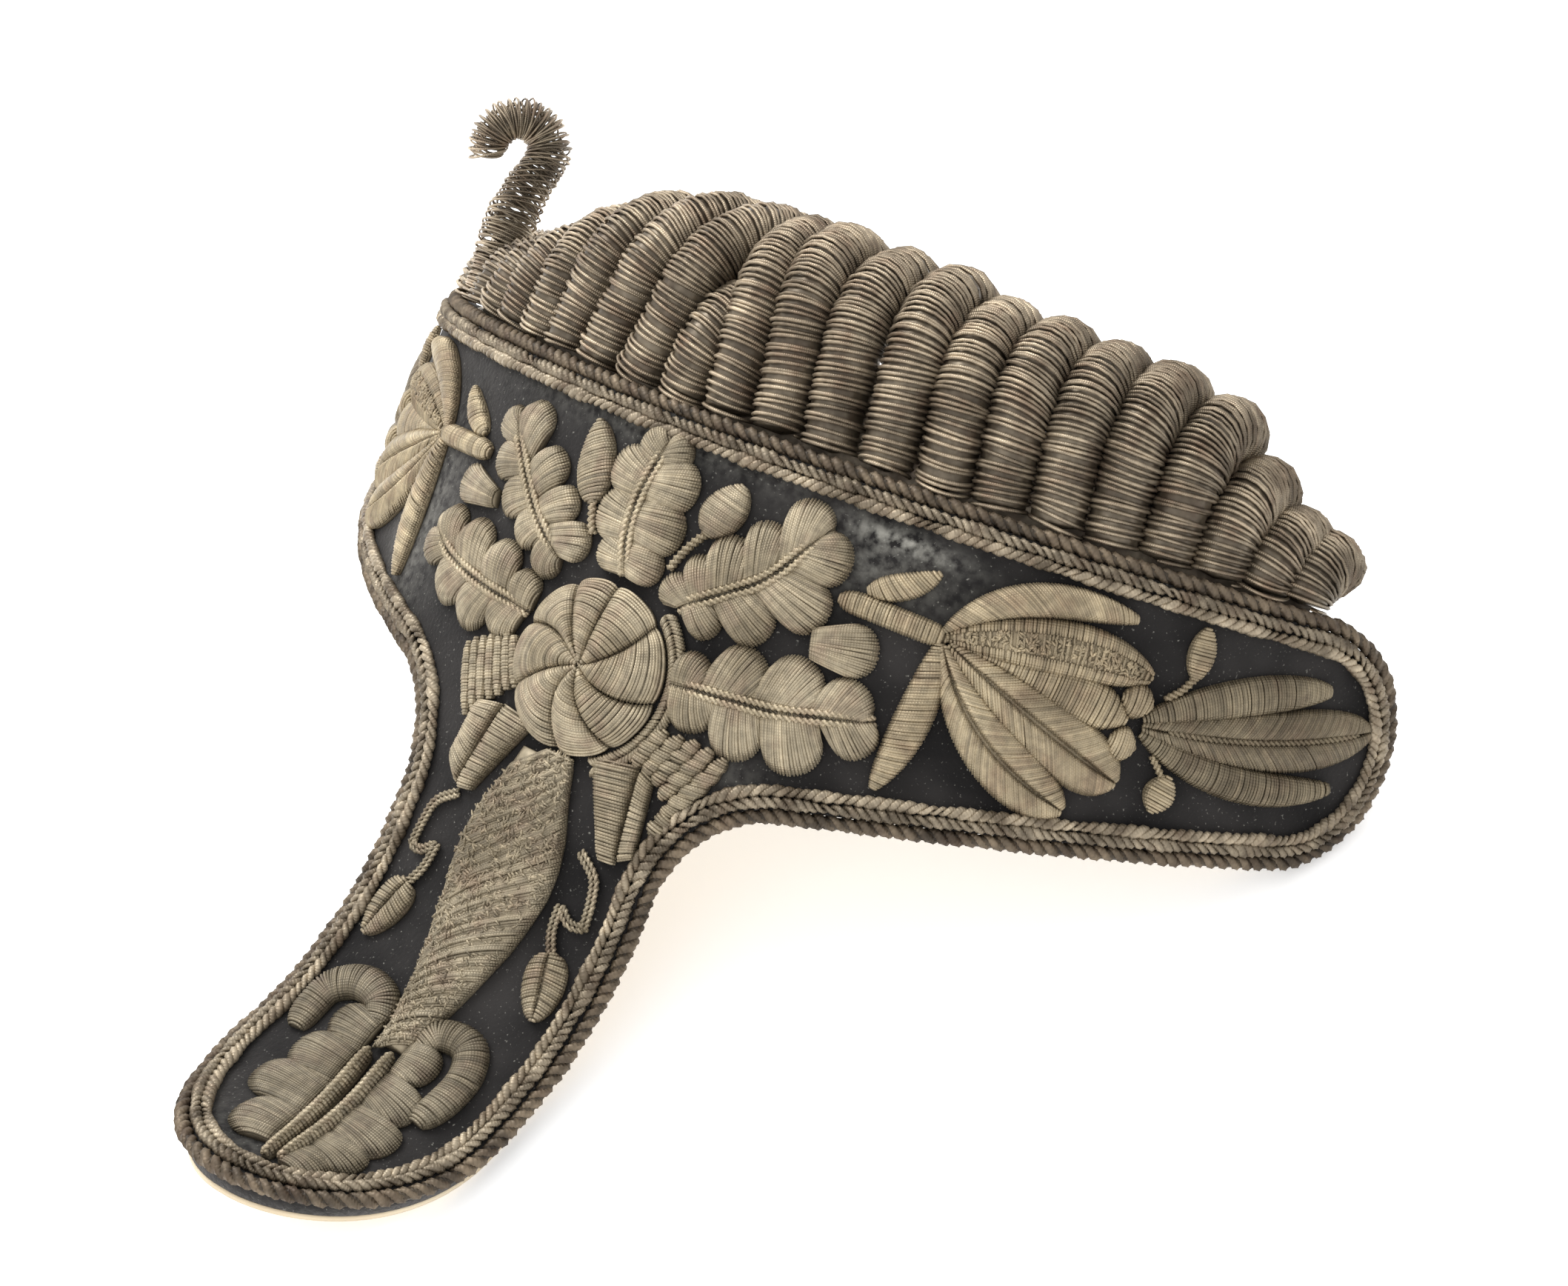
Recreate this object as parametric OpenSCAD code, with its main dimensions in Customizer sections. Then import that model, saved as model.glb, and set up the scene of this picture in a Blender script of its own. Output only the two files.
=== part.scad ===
// A shoulder epaulette: a stiff velvet board of T shape, whose wing bends over
// the shoulder and whose strap turns up toward the neck. Raised metal-thread
// embroidery covers it, and a fringe of bullion coils stands on the wing's edge.
// The flat pattern has u across the wing and v along the strap, with the
// rosette at the middle. The board is bent from it and laid on a table.

/* [Board] */
// Radius of the wing's bend over the shoulder
bend_r = 110; // [95:1:130]
// Length of the strap that stays straight below the rosette
strap_flat = 33; // [25:1:40]
// Radius of the strap's upward turn
strap_r = 57; // [54:1:75]
// Thickness of the padded board
board_t = 4; // [3:0.5:5]
// Thickness of the lining
lining_t = 0.9; // [0.6:0.1:1.5]
// Angle of the rosette's face from level when the epaulette lies on a table
rest_tilt = 40.1; // [38:0.1:42]
// Distance of the rosette behind the middle of the footprint
rosette_y = 1.5; // [-3:0.1:3]

/* [Outline] */
// Half width of the strap
strap_w = 25.3; // [23:0.1:27]
// Distance from the rosette to the middle of the strap's round end
strap_end = 75; // [70:1:80]
// Depth of the strap's round end
strap_round = 28.5; // [24:0.5:30]
// Radius of the hollow corner between strap and wing
corner_r = 22; // [18:1:24]
// Depth of the hollow corner's centre below the rosette
corner_v = 28.2; // [26:0.1:30]
// Upward slope of the wing's lower edge, in degrees
wing_slope = 15; // [12:0.5:17]
// Radius of the wing's round end
wing_r = 18.6; // [17:0.1:20]
// Distance from the rosette to the middle of the wing's round end
wing_end = 114.3; // [110:0.1:116]
// Height of the wing's upper edge above the rosette
top_v = 44.2; // [43:0.1:45]

/* [Trim] */
// Radius of the rope round the edge
rope_r = 1.4; // [1.2:0.1:1.6]
// Width of the flat chain braid
braid_w = 3.8; // [3:0.1:4]
// Height of the flat chain braid
braid_h = 1.3; // [1:0.1:1.6]

/* [Fringe] */
// Half width of a bullion coil along the edge
coil_w = 4.5; // [4:0.1:4.8]
// Half depth of a bullion coil across the edge
coil_d = 5.8; // [5:0.1:6.2]
// Depth of the coils' centre line below the board's face
coil_depth = 5; // [4.5:0.1:6]
// Thickness of the heading tape
heading_t = 1.2; // [1:0.1:1.5]

/* [Embroidery] */
// Radius of the rosette
rosette_r = 14.4; // [13:0.1:14.6]
// Height of the rosette's dome
rosette_h = 4.8; // [3.6:0.1:5.4]
// Height of the leaves and petals
relief_h = 2; // [1.5:0.1:2.5]

/* [Hidden] */

velvet = [0.13, 0.14, 0.17];
cream = [0.88, 0.8, 0.66];
old_gold = [0.5, 0.45, 0.33];
braid_gold = [0.6, 0.53, 0.4];
rope_gold = [0.3, 0.25, 0.18];
bullion_gold = [0.42, 0.38, 0.3];

gap = 0.1;
foot = 0.3;
pad_t = board_t + gap + lining_t;
degrees_per_radian = 180 / PI;

// A number that runs from a to b as t runs from 0 to 1
function mix(a, b, t) = a + (b - a) * t;
function unit(p) = p / norm(p);

// Angles of the wing's bend and of the strap's turn at a place of the flat pattern
function bend_at(u) = u / bend_r * degrees_per_radian;
function turn_at(v) = v < -strap_flat ? (-v - strap_flat) / strap_r * degrees_per_radian : 0;

// The board's face before it is laid down, with the rosette level at the origin
function face(u, v) = [
    bend_r * sin(bend_at(u)),
    v < -strap_flat ? -strap_flat - strap_r * sin(turn_at(v)) : v,
    -bend_r * (1 - cos(bend_at(u))) + strap_r * (1 - cos(turn_at(v)))];

// The direction that points straight out of the board's face
function outward(u, v) = unit([
    sin(bend_at(u)) * cos(turn_at(v)),
    cos(bend_at(u)) * sin(turn_at(v)),
    cos(bend_at(u)) * cos(turn_at(v))]);

// Tilts a point or a direction as the epaulette lies on the table
function tilted(p) = [
    p.x,
    p.y * cos(rest_tilt) - p.z * sin(rest_tilt),
    p.y * sin(rest_tilt) + p.z * cos(rest_tilt)];

// A point of the flat pattern at height h over the face, on the lying epaulette
function untouched(u, v, h) = tilted(face(u, v) + h * outward(u, v));
function place(u, v, h) = untouched(u, v, h) + [0, rosette_y, lift];

// Height of the wing's upper edge at distance u from the middle
edge_power = 1.8;
wing_end_v = -corner_v + corner_r * cos(wing_slope)
    + tan(wing_slope) * (wing_end - strap_w - corner_r + corner_r * sin(wing_slope))
    + wing_r / cos(wing_slope);
function top_edge(u) = mix(top_v, wing_end_v + wing_r, pow(min(abs(u) / wing_end, 1), edge_power));

// Right half of the board's outline: strap end, strap side, hollow corner,
// lower edge of the wing and its round end, as far as the upper edge
corner_u = strap_w + corner_r;
corner_out = [corner_u - corner_r * sin(wing_slope), -corner_v + corner_r * cos(wing_slope)];
wing_in = [wing_end + wing_r * sin(wing_slope), wing_end_v - wing_r * cos(wing_slope)];
half_outline = concat(
    [for (a = [-78 : 14 : -8]) [strap_w * cos(a), -strap_end + strap_round * sin(a)]],
    [for (t = [0 : 0.25 : 0.75]) [strap_w, mix(-strap_end, -corner_v, t)]],
    [for (t = [0 : 0.25 : 1]) let (a = mix(180, 90 + wing_slope, t))
        [corner_u + corner_r * cos(a), -corner_v + corner_r * sin(a)]],
    [for (t = [0.2 : 0.2 : 0.8]) mix(corner_out, wing_in, t)],
    [for (t = [0 : 0.125 : 1]) let (a = mix(wing_slope - 90, 90, t))
        [wing_end + wing_r * cos(a), wing_end_v + wing_r * sin(a)]]);
rows = len(half_outline);

// Height that brings the lowest point of the outline onto the table
lift = -min([for (p = half_outline) untouched(p.x, p.y, -pad_t).z]);
strap_rows = 10;

// Height on the middle line of the row that ends at outline point i
function row_middle(i) = i < strap_rows ? half_outline[i].y
    : mix(-corner_v, top_v, (i - strap_rows) / (rows - 1 - strap_rows));
// A point of row i, with a from -1 at the left edge to 1 at the right edge
function row_point(i, a) = [
    half_outline[i].x * a,
    mix(row_middle(i), half_outline[i].y, pow(abs(a), edge_power))];

// The whole outline, once round against the clock, without doubled points
function mirrored(p) = [-p.x, p.y];
top_half = [for (t = [0.875 : -0.125 : 0]) [wing_end * t, top_edge(wing_end * t)]];
right_side = concat(half_outline, top_half);
outline = concat(
    [[0, -strap_end - strap_round]],
    right_side,
    [for (i = [len(right_side) - 2 : -1 : 0]) mirrored(right_side[i])]);
points = len(outline);
function along(i) = unit(outline[(i + 1) % points] - outline[(i + points - 1) % points]);
function inward(i) = [-along(i).y, along(i).x];

// Faces of a tube whose rings of n points follow each other, closed or with flat ends
function ring_faces(rings, n, closed) = [
    for (k = [0 : rings - (closed ? 1 : 2)], j = [0 : n - 1], half = [0, 1])
        let (m = (k + 1) % rings, l = (j + 1) % n)
        half == 0 ? [k * n + j, m * n + l, k * n + l] : [k * n + j, m * n + j, m * n + l]];
function end_faces(rings, n) = [
    [for (j = [0 : n - 1]) j],
    [for (j = [n - 1 : -1 : 0]) (rings - 1) * n + j]];

// A sheet between two heights over the face, on the rows of the outline
module board_sheet(top_h, low_h, cols) {
    width = 2 * cols + 1;
    sheet = [for (h = [top_h, low_h], i = [0 : rows - 1], j = [-cols : cols])
        let (p = row_point(i, j / cols)) place(p.x, p.y, h)];
    size = rows * width;
    upper = [for (i = [0 : rows - 2], j = [0 : width - 2], half = [0, 1])
        let (k = i * width + j)
        half == 0 ? [k, k + width, k + width + 1] : [k, k + width + 1, k + 1]];
    lower = [for (f = upper) [f[2] + size, f[1] + size, f[0] + size]];
    rim = concat(
        [for (j = [0 : width - 1]) j],
        [for (i = [1 : rows - 1]) i * width + width - 1],
        [for (j = [width - 2 : -1 : 0]) (rows - 1) * width + j],
        [for (i = [rows - 2 : -1 : 1]) i * width]);
    count = len(rim);
    walls = [for (k = [0 : count - 1], half = [0, 1])
        let (a = rim[k], b = rim[(k + 1) % count])
        half == 0 ? [a, b, b + size] : [a, b + size, a + size]];
    polyhedron(sheet, concat(upper, lower, walls));
}

// A strip that follows the whole outline, with its section's points given as
// distance in from the edge and height over the face
module edge_strip(section) {
    n = len(section);
    rings = [for (i = [0 : points - 1], s = section)
        let (p = outline[i] + inward(i) * s.x) place(p.x, p.y, s.y)];
    polyhedron(rings, ring_faces(points, n, true));
}

// A padded stitch form on a bent axis from p0 by way of p1 to p2. Its half width
// is the profile times w, and lobes cuts that many notches in its sides
function bent(p0, p1, p2, t) = (1 - t) * (1 - t) * p0 + 2 * t * (1 - t) * p1 + t * t * p2;
function bent_side(p0, p1, p2, t) =
    let (d = unit((1 - t) * (p1 - p0) + t * (p2 - p1))) [-d.y, d.x];
function petal_width(t, blunt) = pow(sin(180 * pow(t, blunt)), 0.7);
function notch(t, lobes) = lobes == 0 ? 1 : 0.72 + 0.28 * abs(sin(180 * lobes * t));
module stitched(p0, p1, p2, w, h, steps = 6, blunt = 0.8, lobes = 0, base = foot) {
    rings = [for (k = [0 : steps])
        let (
            t = mix(0.03, 0.97, k / steps),
            c = bent(p0, p1, p2, t),
            s = bent_side(p0, p1, p2, t),
            half = max(w * petal_width(t, blunt) * notch(t, lobes), 0.4),
            rise = h * mix(0.55, 1, petal_width(t, blunt)))
        for (q = [[-1, 0], [-0.6, 0.8], [0, 1], [0.6, 0.8], [1, 0]])
            let (p = c - s * half * q.x) place(p.x, p.y, base + rise * q.y)];
    polyhedron(rings, concat(ring_faces(steps + 1, 5, false), end_faces(steps + 1, 5)));
}

// A direction of the flat pattern, with angle a from the v axis toward the right
function fan(a) = [sin(a), cos(a)];

module velvet_board() {
    color(velvet) board_sheet(0, -board_t, 7);
}

module lining() {
    color(cream) board_sheet(-board_t - gap, -pad_t, 7);
}

module edge_rope() {
    color(rope_gold) edge_strip([for (a = [0 : 72 : 288])
        [-rope_r - 2 * gap + rope_r * cos(a), rope_r * sin(a)]]);
}

module border_braid() {
    top_h = foot + braid_h;
    color(braid_gold) edge_strip([
        [2 * gap, foot], [braid_w, foot], [braid_w * 0.75, top_h], [braid_w * 0.25, top_h]]);
}

// Bullion coils, one row each: place along the edge, lean toward the right in
// degrees, straight length, radius of the curl and the angle through which it turns
coils = [
    [-109, 4, 1, 7, 120],
    [-100, 4, 1, 7, 120],
    [-91.5, 4, 1, 7, 120],
    [-72.5, 4, 2, 7, 120],
    [-64, 4, 3, 8, 120],
    [-54.5, 4, 5, 10, 115],
    [-45, 3, 8, 12, 115],
    [-35, 3, 11, 14, 115],
    [-25, 8, 14, 14, 115],
    [-14.5, 9, 15, 14, 115],
    [-4, 2, 5, 12, 100],
    [6, -8, 15, 14, 115],
    [16, -11, 16, 14, 115],
    [26, -12, 14.5, 14, 115],
    [35.8, -13, 14.5, 14, 115],
    [45.5, -13, 12, 14, 115],
    [55.2, -13, 11.5, 14, 115],
    [65, -13, 10.5, 14, 115],
    [74.5, -12, 10.5, 13.5, 115],
    [84, -10, 9, 12.5, 115],
    [93, -8, 5, 11, 115],
    [101.5, -6, 2, 8.5, 115],
    [110, -4, 1, 7, 115]];
// Distance of the coils' feet beyond the board's edge, clear of the rope
coil_start = 2 * rope_r + 1.5;
// Coils left of this place are pressed in under the wing's end
pressed_u = -50;

// Direction in which the coils rise, the way along the edge and the way they curl over
rise_dir = tilted([0, 1, 0]);
function across(u) = tilted([cos(bend_at(u)), 0, -sin(bend_at(u))]);
function curl_dir(u) =
    let (inward_share = u < pressed_u ? 0.6 : 0.1)
    -tilted(outward(u, 0)) * inward_share - [0, 0, 1 - inward_share];

// Middle line of a coil and its side direction: straight out of the heading, then a curl
function coil_go(c) = unit(rise_dir * cos(c[1]) + across(c[0]) * sin(c[1]));
function coil_over(c) = let (go = coil_go(c), down = curl_dir(c[0])) unit(down - go * (down * go));
function coil_point(c, s) =
    let (
        start = place(c[0], top_edge(c[0]) + coil_start, -coil_depth),
        a = max(s - c[2], 0) / c[3] * degrees_per_radian)
    start + coil_go(c) * (min(s, c[2]) + c[3] * sin(a)) + coil_over(c) * c[3] * (1 - cos(a));

// A tube of n sides through the given points, with its half width along side and
// its half depth across it, drawn in at its tip
module tube(path, side, half_w, half_d, n) {
    last = len(path) - 1;
    rings = [for (k = [0 : last])
        let (
            d = unit(path[min(k + 1, last)] - path[max(k - 1, 0)]),
            s = unit(side - d * (side * d)),
            w = cross(d, s),
            shrink = k == last ? 0.7 : 1)
        for (j = [0 : n - 1])
            path[k] + shrink * (s * half_w * cos(360 * j / n) + w * half_d * sin(360 * j / n))];
    polyhedron(rings, concat(ring_faces(last + 1, n, false), end_faces(last + 1, n)));
}

module coil(c) {
    length = c[2] + c[3] * c[4] / degrees_per_radian;
    steps = c[2] > 5 ? 5 : 4;
    tube([for (k = [0 : steps]) coil_point(c, length * k / steps)],
        cross(coil_go(c), coil_over(c)), coil_w, coil_d, 7);
}

// The tape under the wing's upper edge that the coils are sewn to
heading_h = pad_t + 2 * foot;
module heading() {
    section = [
        [7, -heading_h], [7, -heading_h - heading_t],
        [-6, -heading_h - heading_t], [-6, -heading_h]];
    steps = 14;
    reach = 112;
    rings = [for (k = [0 : steps], q = section)
        let (u = mix(-reach, reach, k / steps)) place(u, top_edge(u) - q.x, q.y)];
    polyhedron(rings, concat(ring_faces(steps + 1, 4, false), end_faces(steps + 1, 4)));
}

module bullion_fringe() {
    color(bullion_gold) {
        heading();
        for (c = coils) coil(c);
    }
}

// The loose coil stands up from the wing's left end and hooks over outward
loose_u = -82;
loose_rise = 23.2;
loose_hook = 5.4;
loose_r = 4.1;
module loose_bullion() {
    go = unit(rise_dir + across(loose_u) * 0.1);
    out = tilted(outward(loose_u, 0));
    base = place(loose_u, top_edge(loose_u) + coil_start + 3, -coil_depth);
    path = concat(
        [for (s = [0 : 5.2 : loose_rise]) base + go * s + out * 1.5 * sin(180 * s / loose_rise)],
        [for (a = [35 : 35 : 210])
            base + go * (loose_rise + loose_hook * sin(a)) + out * loose_hook * (1 - cos(a))]);
    color(bullion_gold) tube(path, across(loose_u), loose_r, loose_r, 8);
}

// The domed rosette, one section each: share of the radius and share of the height
dome = [[1, 0.08], [1, 0.24], [0.85, 0.62], [0.6, 0.84], [0.15, 1]];
dome_u = 2.1;
dome_v = 1.5;
module rosette() {
    n = 18;
    rings = [for (s = dome, j = [0 : n - 1])
        let (r = rosette_r * s[0], a = 360 * j / n)
        place(dome_u + r * cos(a), dome_v + r * sin(a), rosette_h * s[1])];
    top_ring = (len(dome) - 1) * n;
    low_middle = len(dome) * n;
    caps = [for (j = [0 : n - 1], half = [0, 1])
        let (l = (j + 1) % n)
        half == 0 ? [low_middle, j, l] : [low_middle + 1, top_ring + l, top_ring + j]];
    color(old_gold) polyhedron(
        concat(rings, [place(dome_u, dome_v, 4 * gap), place(dome_u, dome_v, rosette_h)]),
        concat(ring_faces(len(dome), n, false), caps));
}

// Oak leaves, one row each: start, bend point and end of the rib, and half width
leaves = [
    [[-14.2, 6.2], [-31, 5.2], [-46, 12.6], 8],
    [[-10.6, 15.6], [-22.5, 24.4], [-33.4, 38], 7],
    [[2.3, 17.2], [0.3, 29], [1.2, 41], 8.6],
    [[13, 16], [27.4, 22.4], [34.6, 38.6], 8],
    [[17.6, 4.5], [34, 5], [51, 11], 8.2]];
module oak_leaf(i) {
    f = leaves[i];
    color(old_gold) stitched(f[0], f[1], f[2], f[3], relief_h + 0.3, 10, 0.9, 4);
}

// Acorns, one row each: start, bend point and end, half width and bluntness
acorns = [
    [[-30.8, 20.8], [-36, 21.6], [-43, 21.8], 3.2, 0.7],
    [[-9.6, 26.4], [-11.5, 32], [-14.2, 39], 3.5, 0.85],
    [[13.2, 26.4], [14.2, 32], [16.6, 39], 3.5, 0.85],
    [[37, 20.4], [41, 21], [46.6, 21.6], 3.1, 0.7]];
module acorn(i) {
    f = acorns[i];
    color(old_gold) stitched(f[0], f[1], f[2], f[3], relief_h, 5, f[4]);
}

// Narrow bars beside the rosette's lower edge, one row each: start, end and half width
bars = [
    [[-22.6, -2.2], [-17.9, -11.8], 0.8],
    [[-20.6, -1.8], [-15.8, -10.6], 0.8],
    [[-18.6, -1.2], [-13.7, -9.6], 0.8],
    [[-16.6, -0.6], [-12.2, -7.9], 0.8],
    [[17, -9.2], [19.6, -3.2], 1.2],
    [[19.4, -10], [22.4, -2.9], 1.2],
    [[21.6, -11.2], [25.2, -2.8], 1.2],
    [[23.4, -12.8], [27.8, -3], 1.2],
    [[24.8, -14.8], [30.2, -3.6], 1.2]];
module ray_bars() {
    color(old_gold) for (k = [0 : len(bars) - 1]) {
        f = bars[k];
        stitched(f[0], (f[0] + f[1]) / 2, f[1], f[2], relief_h * 0.75, 3, 0.9, base = foot + gap * k);
    }
}

// Sections of the quiver, one row each: place down the strap, half width and height
quiver_u = 1.1;
quiver_sections = [
    [-13.6, 5, 1.8],
    [-18, 6.4, 2.2],
    [-21, 7.4, 2.6],
    [-25, 9, 3.2],
    [-30, 9.9, 3.6],
    [-36, 9.8, 3.6],
    [-42, 8.6, 3.4],
    [-48, 7.2, 3.1],
    [-54, 5.7, 2.8],
    [-61, 4, 2.3],
    [-68, 2.4, 1.8]];
module quiver() {
    count = len(quiver_sections);
    rings = [
        for (s = quiver_sections, q = [[1, 0], [0.7, 0.75], [0, 1], [-0.7, 0.75], [-1, 0], [0, 0]])
            place(quiver_u + s[1] * q.x, s[0], foot + 2 * gap + s[2] * q.y)];
    color(old_gold) polyhedron(rings, concat(ring_faces(count, 6, false), end_faces(count, 6)));
}

// Several stitch forms of one piece, one row each: start, bend point, end, half
// width and bluntness. Each lies a little higher than the one before
module stitched_side(side, forms, h, steps) {
    color(old_gold) for (k = [0 : len(forms) - 1]) {
        f = forms[k];
        stitched([side * f[0].x, f[0].y], [side * f[1].x, f[1].y], [side * f[2].x, f[2].y],
            f[3], h, steps, f[4], base = foot + gap * (k + 1));
    }
}

// Two lobes at either side of the quiver's top
left_lobes = [
    [[-8, -12.4], [-9.8, -17], [-12.4, -24.6], 3.4, 0.9],
    [[-14.4, -12.6], [-15.6, -17], [-16.8, -22], 2, 0.9]];
right_lobes = [
    [[13.4, -11.8], [15.6, -17], [18, -25], 3.2, 0.9],
    [[18.6, -11.8], [19.4, -17], [20.6, -24], 1.7, 0.9]];

// Zigzag stems with a heart-shaped leaf beside the quiver
sprigs = [
    [[13.6, -26.6], [18.8, -26.8], [18.4, -36.6], 0.9, 0.8],
    [[18.6, -36.4], [16.2, -36.8], [13.9, -35], 0.9, 0.8],
    [[13.8, -34.8], [13.8, -39.6], [16.2, -43], 0.9, 0.8],
    [[15.6, -42.6], [17, -47], [18, -52.8], 3.2, 0.62]];

// Scrolls, lobes and middle ribs at the strap's end
palmette_forms = [
    [[-4.6, -67.5], [-11.5, -53.5], [-17, -74], 2.8, 0.8],
    [[5, -68.5], [12.5, -54], [14.7, -78], 2.6, 0.8],
    [[-2.6, -67.4], [-7.5, -67.6], [-12.2, -67.2], 2.9, 0.6],
    [[-2.4, -75], [-8, -75.2], [-14.2, -75.4], 3.5, 0.6],
    [[-1.4, -82.6], [-8, -83], [-15.2, -83], 3.5, 0.6],
    [[0, -90.4], [-5, -91.6], [-10, -91.8], 4, 0.6],
    [[4, -69], [7.5, -68.4], [10.8, -68], 3, 0.6],
    [[4.6, -76.4], [9, -77.6], [13.6, -79.6], 3.2, 0.6],
    [[5.2, -83.4], [10, -84.2], [15.4, -84.8], 3.3, 0.6],
    [[5.8, -90], [10, -90.6], [14.6, -91], 3, 0.6],
    [[5.4, -94.6], [8.6, -95.4], [11.8, -95.2], 2.3, 0.6],
    [[-1.6, -70.5], [0, -84], [3, -98.4], 1.2, 0.8],
    [[2.4, -70], [4, -84], [5, -97.6], 1.2, 0.8]];

// Forms of the wing's right side, which are mirrored for the left side
stems = [
    [[38.6, 27.2], [46, 27.4], [54.2, 27.3], 1.7, 0.8],
    [[41.6, 30], [46, 31.6], [50.8, 36], 1.9, 0.9]];
sepals = [[[54.5, 25.2], [56.2, 12], [53.2, 1.2], 2.6, 0.9]];
flower_petals = [
    [[55.6, 28.6], [63.5, 41], [82.2, 40.9], 2.5, 1.1],
    [[56.8, 27.6], [73, 34.6], [87.4, 33.3], 4.2, 1.15],
    [[59, 26.8], [72, 27], [85, 25.4], 3, 1.7],
    [[57.5, 26.4], [76, 18.6], [88.2, 16], 4.7, 1.1],
    [[57, 25.4], [64.8, 12], [81.8, 9], 4.3, 1.1],
    [[86.6, 31], [87.2, 25.5], [87, 20], 2.3, 0.9]];
end_petals = [
    [[90.6, 28.2], [103.8, 37], [117.2, 41.3], 2.7, 1.05],
    [[91, 26], [109, 28.4], [127.6, 37.6], 4.8, 1.15],
    [[91.6, 23.4], [107.4, 19.8], [124, 27.2], 2.6, 1.05]];
upper_buds = [
    [[93.8, 35.6], [93.5, 39.5], [92.9, 43.4], 2.1, 0.9],
    [[90.8, 31.4], [92.8, 33.2], [93.9, 36.2], 0.8, 0.9]];
lower_buds = [
    [[95.2, 14], [95.6, 16.8], [96, 19.8], 2.5, 0.9],
    [[92.2, 21.8], [93.6, 20.6], [95.1, 18.8], 0.8, 0.9]];

// A plain brass tongue under the strap
tongue_w = 11;
tongue_t = 1.2;
module fastening_tongue() {
    top_h = -pad_t - 3 * gap;
    rings = [for (v = [-14, -20, -33, -39, -45, -51, -57],
        q = [[1, 0], [-1, 0], [-1, -1], [1, -1]])
        place(q.x * tongue_w / 2, v, top_h + q.y * tongue_t)];
    color("goldenrod") polyhedron(rings, concat(ring_faces(7, 4, false), end_faces(7, 4)));
}

velvet_board();
lining();
edge_rope();
border_braid();
bullion_fringe();
loose_bullion();
rosette();
oak_leaf(0);  // oak_leaf_1
oak_leaf(1);  // oak_leaf_2
oak_leaf(2);  // oak_leaf_3
oak_leaf(3);  // oak_leaf_4
oak_leaf(4);  // oak_leaf_5
acorn(0);  // acorn_1
acorn(1);  // acorn_2
acorn(2);  // acorn_3
acorn(3);  // acorn_4
ray_bars();
stitched_side(1, left_lobes, relief_h, 4);  // lobe_leaf_left
stitched_side(1, right_lobes, relief_h, 4);  // lobe_leaf_right
quiver();
stitched_side(-1, sprigs, 1.2, 4);  // sprig_left
stitched_side(1, sprigs, 1.2, 4);  // sprig_right
stitched_side(1, palmette_forms, relief_h, 4);  // palmette
stitched_side(-1, stems, 1.4, 4);  // stem_left
stitched_side(-1, sepals, relief_h, 6);  // sepal_left
stitched_side(-1, flower_petals, relief_h + 0.3, 5);  // flower_left
stitched_side(-1, end_petals, relief_h, 5);  // end_flower_left
stitched_side(-1, upper_buds, 1.4, 5);  // bud_up_left
stitched_side(-1, lower_buds, 1.5, 4);  // bud_low_left
stitched_side(1, stems, 1.4, 4);  // stem_right
stitched_side(1, sepals, relief_h, 6);  // sepal_right
stitched_side(1, flower_petals, relief_h + 0.3, 5);  // flower_right
stitched_side(1, end_petals, relief_h, 5);  // end_flower_right
stitched_side(1, upper_buds, 1.4, 5);  // bud_up_right
stitched_side(1, lower_buds, 1.5, 4);  // bud_low_right
fastening_tongue();
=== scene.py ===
import bpy
import numpy as np
from mathutils import Matrix, Vector


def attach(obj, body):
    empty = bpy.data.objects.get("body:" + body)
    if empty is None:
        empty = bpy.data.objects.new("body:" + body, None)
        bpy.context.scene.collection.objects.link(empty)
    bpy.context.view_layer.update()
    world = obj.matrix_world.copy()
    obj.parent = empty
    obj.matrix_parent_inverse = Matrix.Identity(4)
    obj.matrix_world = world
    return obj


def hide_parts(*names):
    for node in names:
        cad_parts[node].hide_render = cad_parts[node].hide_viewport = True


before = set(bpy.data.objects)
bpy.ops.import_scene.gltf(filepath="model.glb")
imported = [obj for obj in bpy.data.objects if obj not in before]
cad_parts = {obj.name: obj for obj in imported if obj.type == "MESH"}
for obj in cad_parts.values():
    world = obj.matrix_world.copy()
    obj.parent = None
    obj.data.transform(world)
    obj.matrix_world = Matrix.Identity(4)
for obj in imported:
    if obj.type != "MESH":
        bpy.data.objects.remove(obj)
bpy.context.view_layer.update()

scene = bpy.context.scene

# Camera
# The photograph looks down on the epaulette from the right of its strap, 42 degrees
# above the table. The camera leans 12 degrees to its right.
camera_at = Vector((0.3272, -0.2636, 0.4169))
camera_aim = Vector((0.0214, 0.0271, 0.0369))
camera_lean = np.radians(12.0)
camera_lens = 80.9

back = (camera_at - camera_aim).normalized()
level_right = Vector((0, 0, 1)).cross(back).normalized()
level_up = back.cross(level_right)
camera_up = level_up * np.cos(camera_lean) + level_right * np.sin(camera_lean)
camera = bpy.data.objects.new("camera", bpy.data.cameras.new("camera"))
camera.data.lens = camera_lens
camera.data.sensor_width = 36
camera.data.clip_start = 0.01
turned = Matrix((camera_up.cross(back), camera_up, back)).transposed().to_4x4()
camera.matrix_world = Matrix.Translation(camera_at) @ turned
scene.collection.objects.link(camera)
scene.camera = camera
scene.view_settings.view_transform = "Standard"

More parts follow.
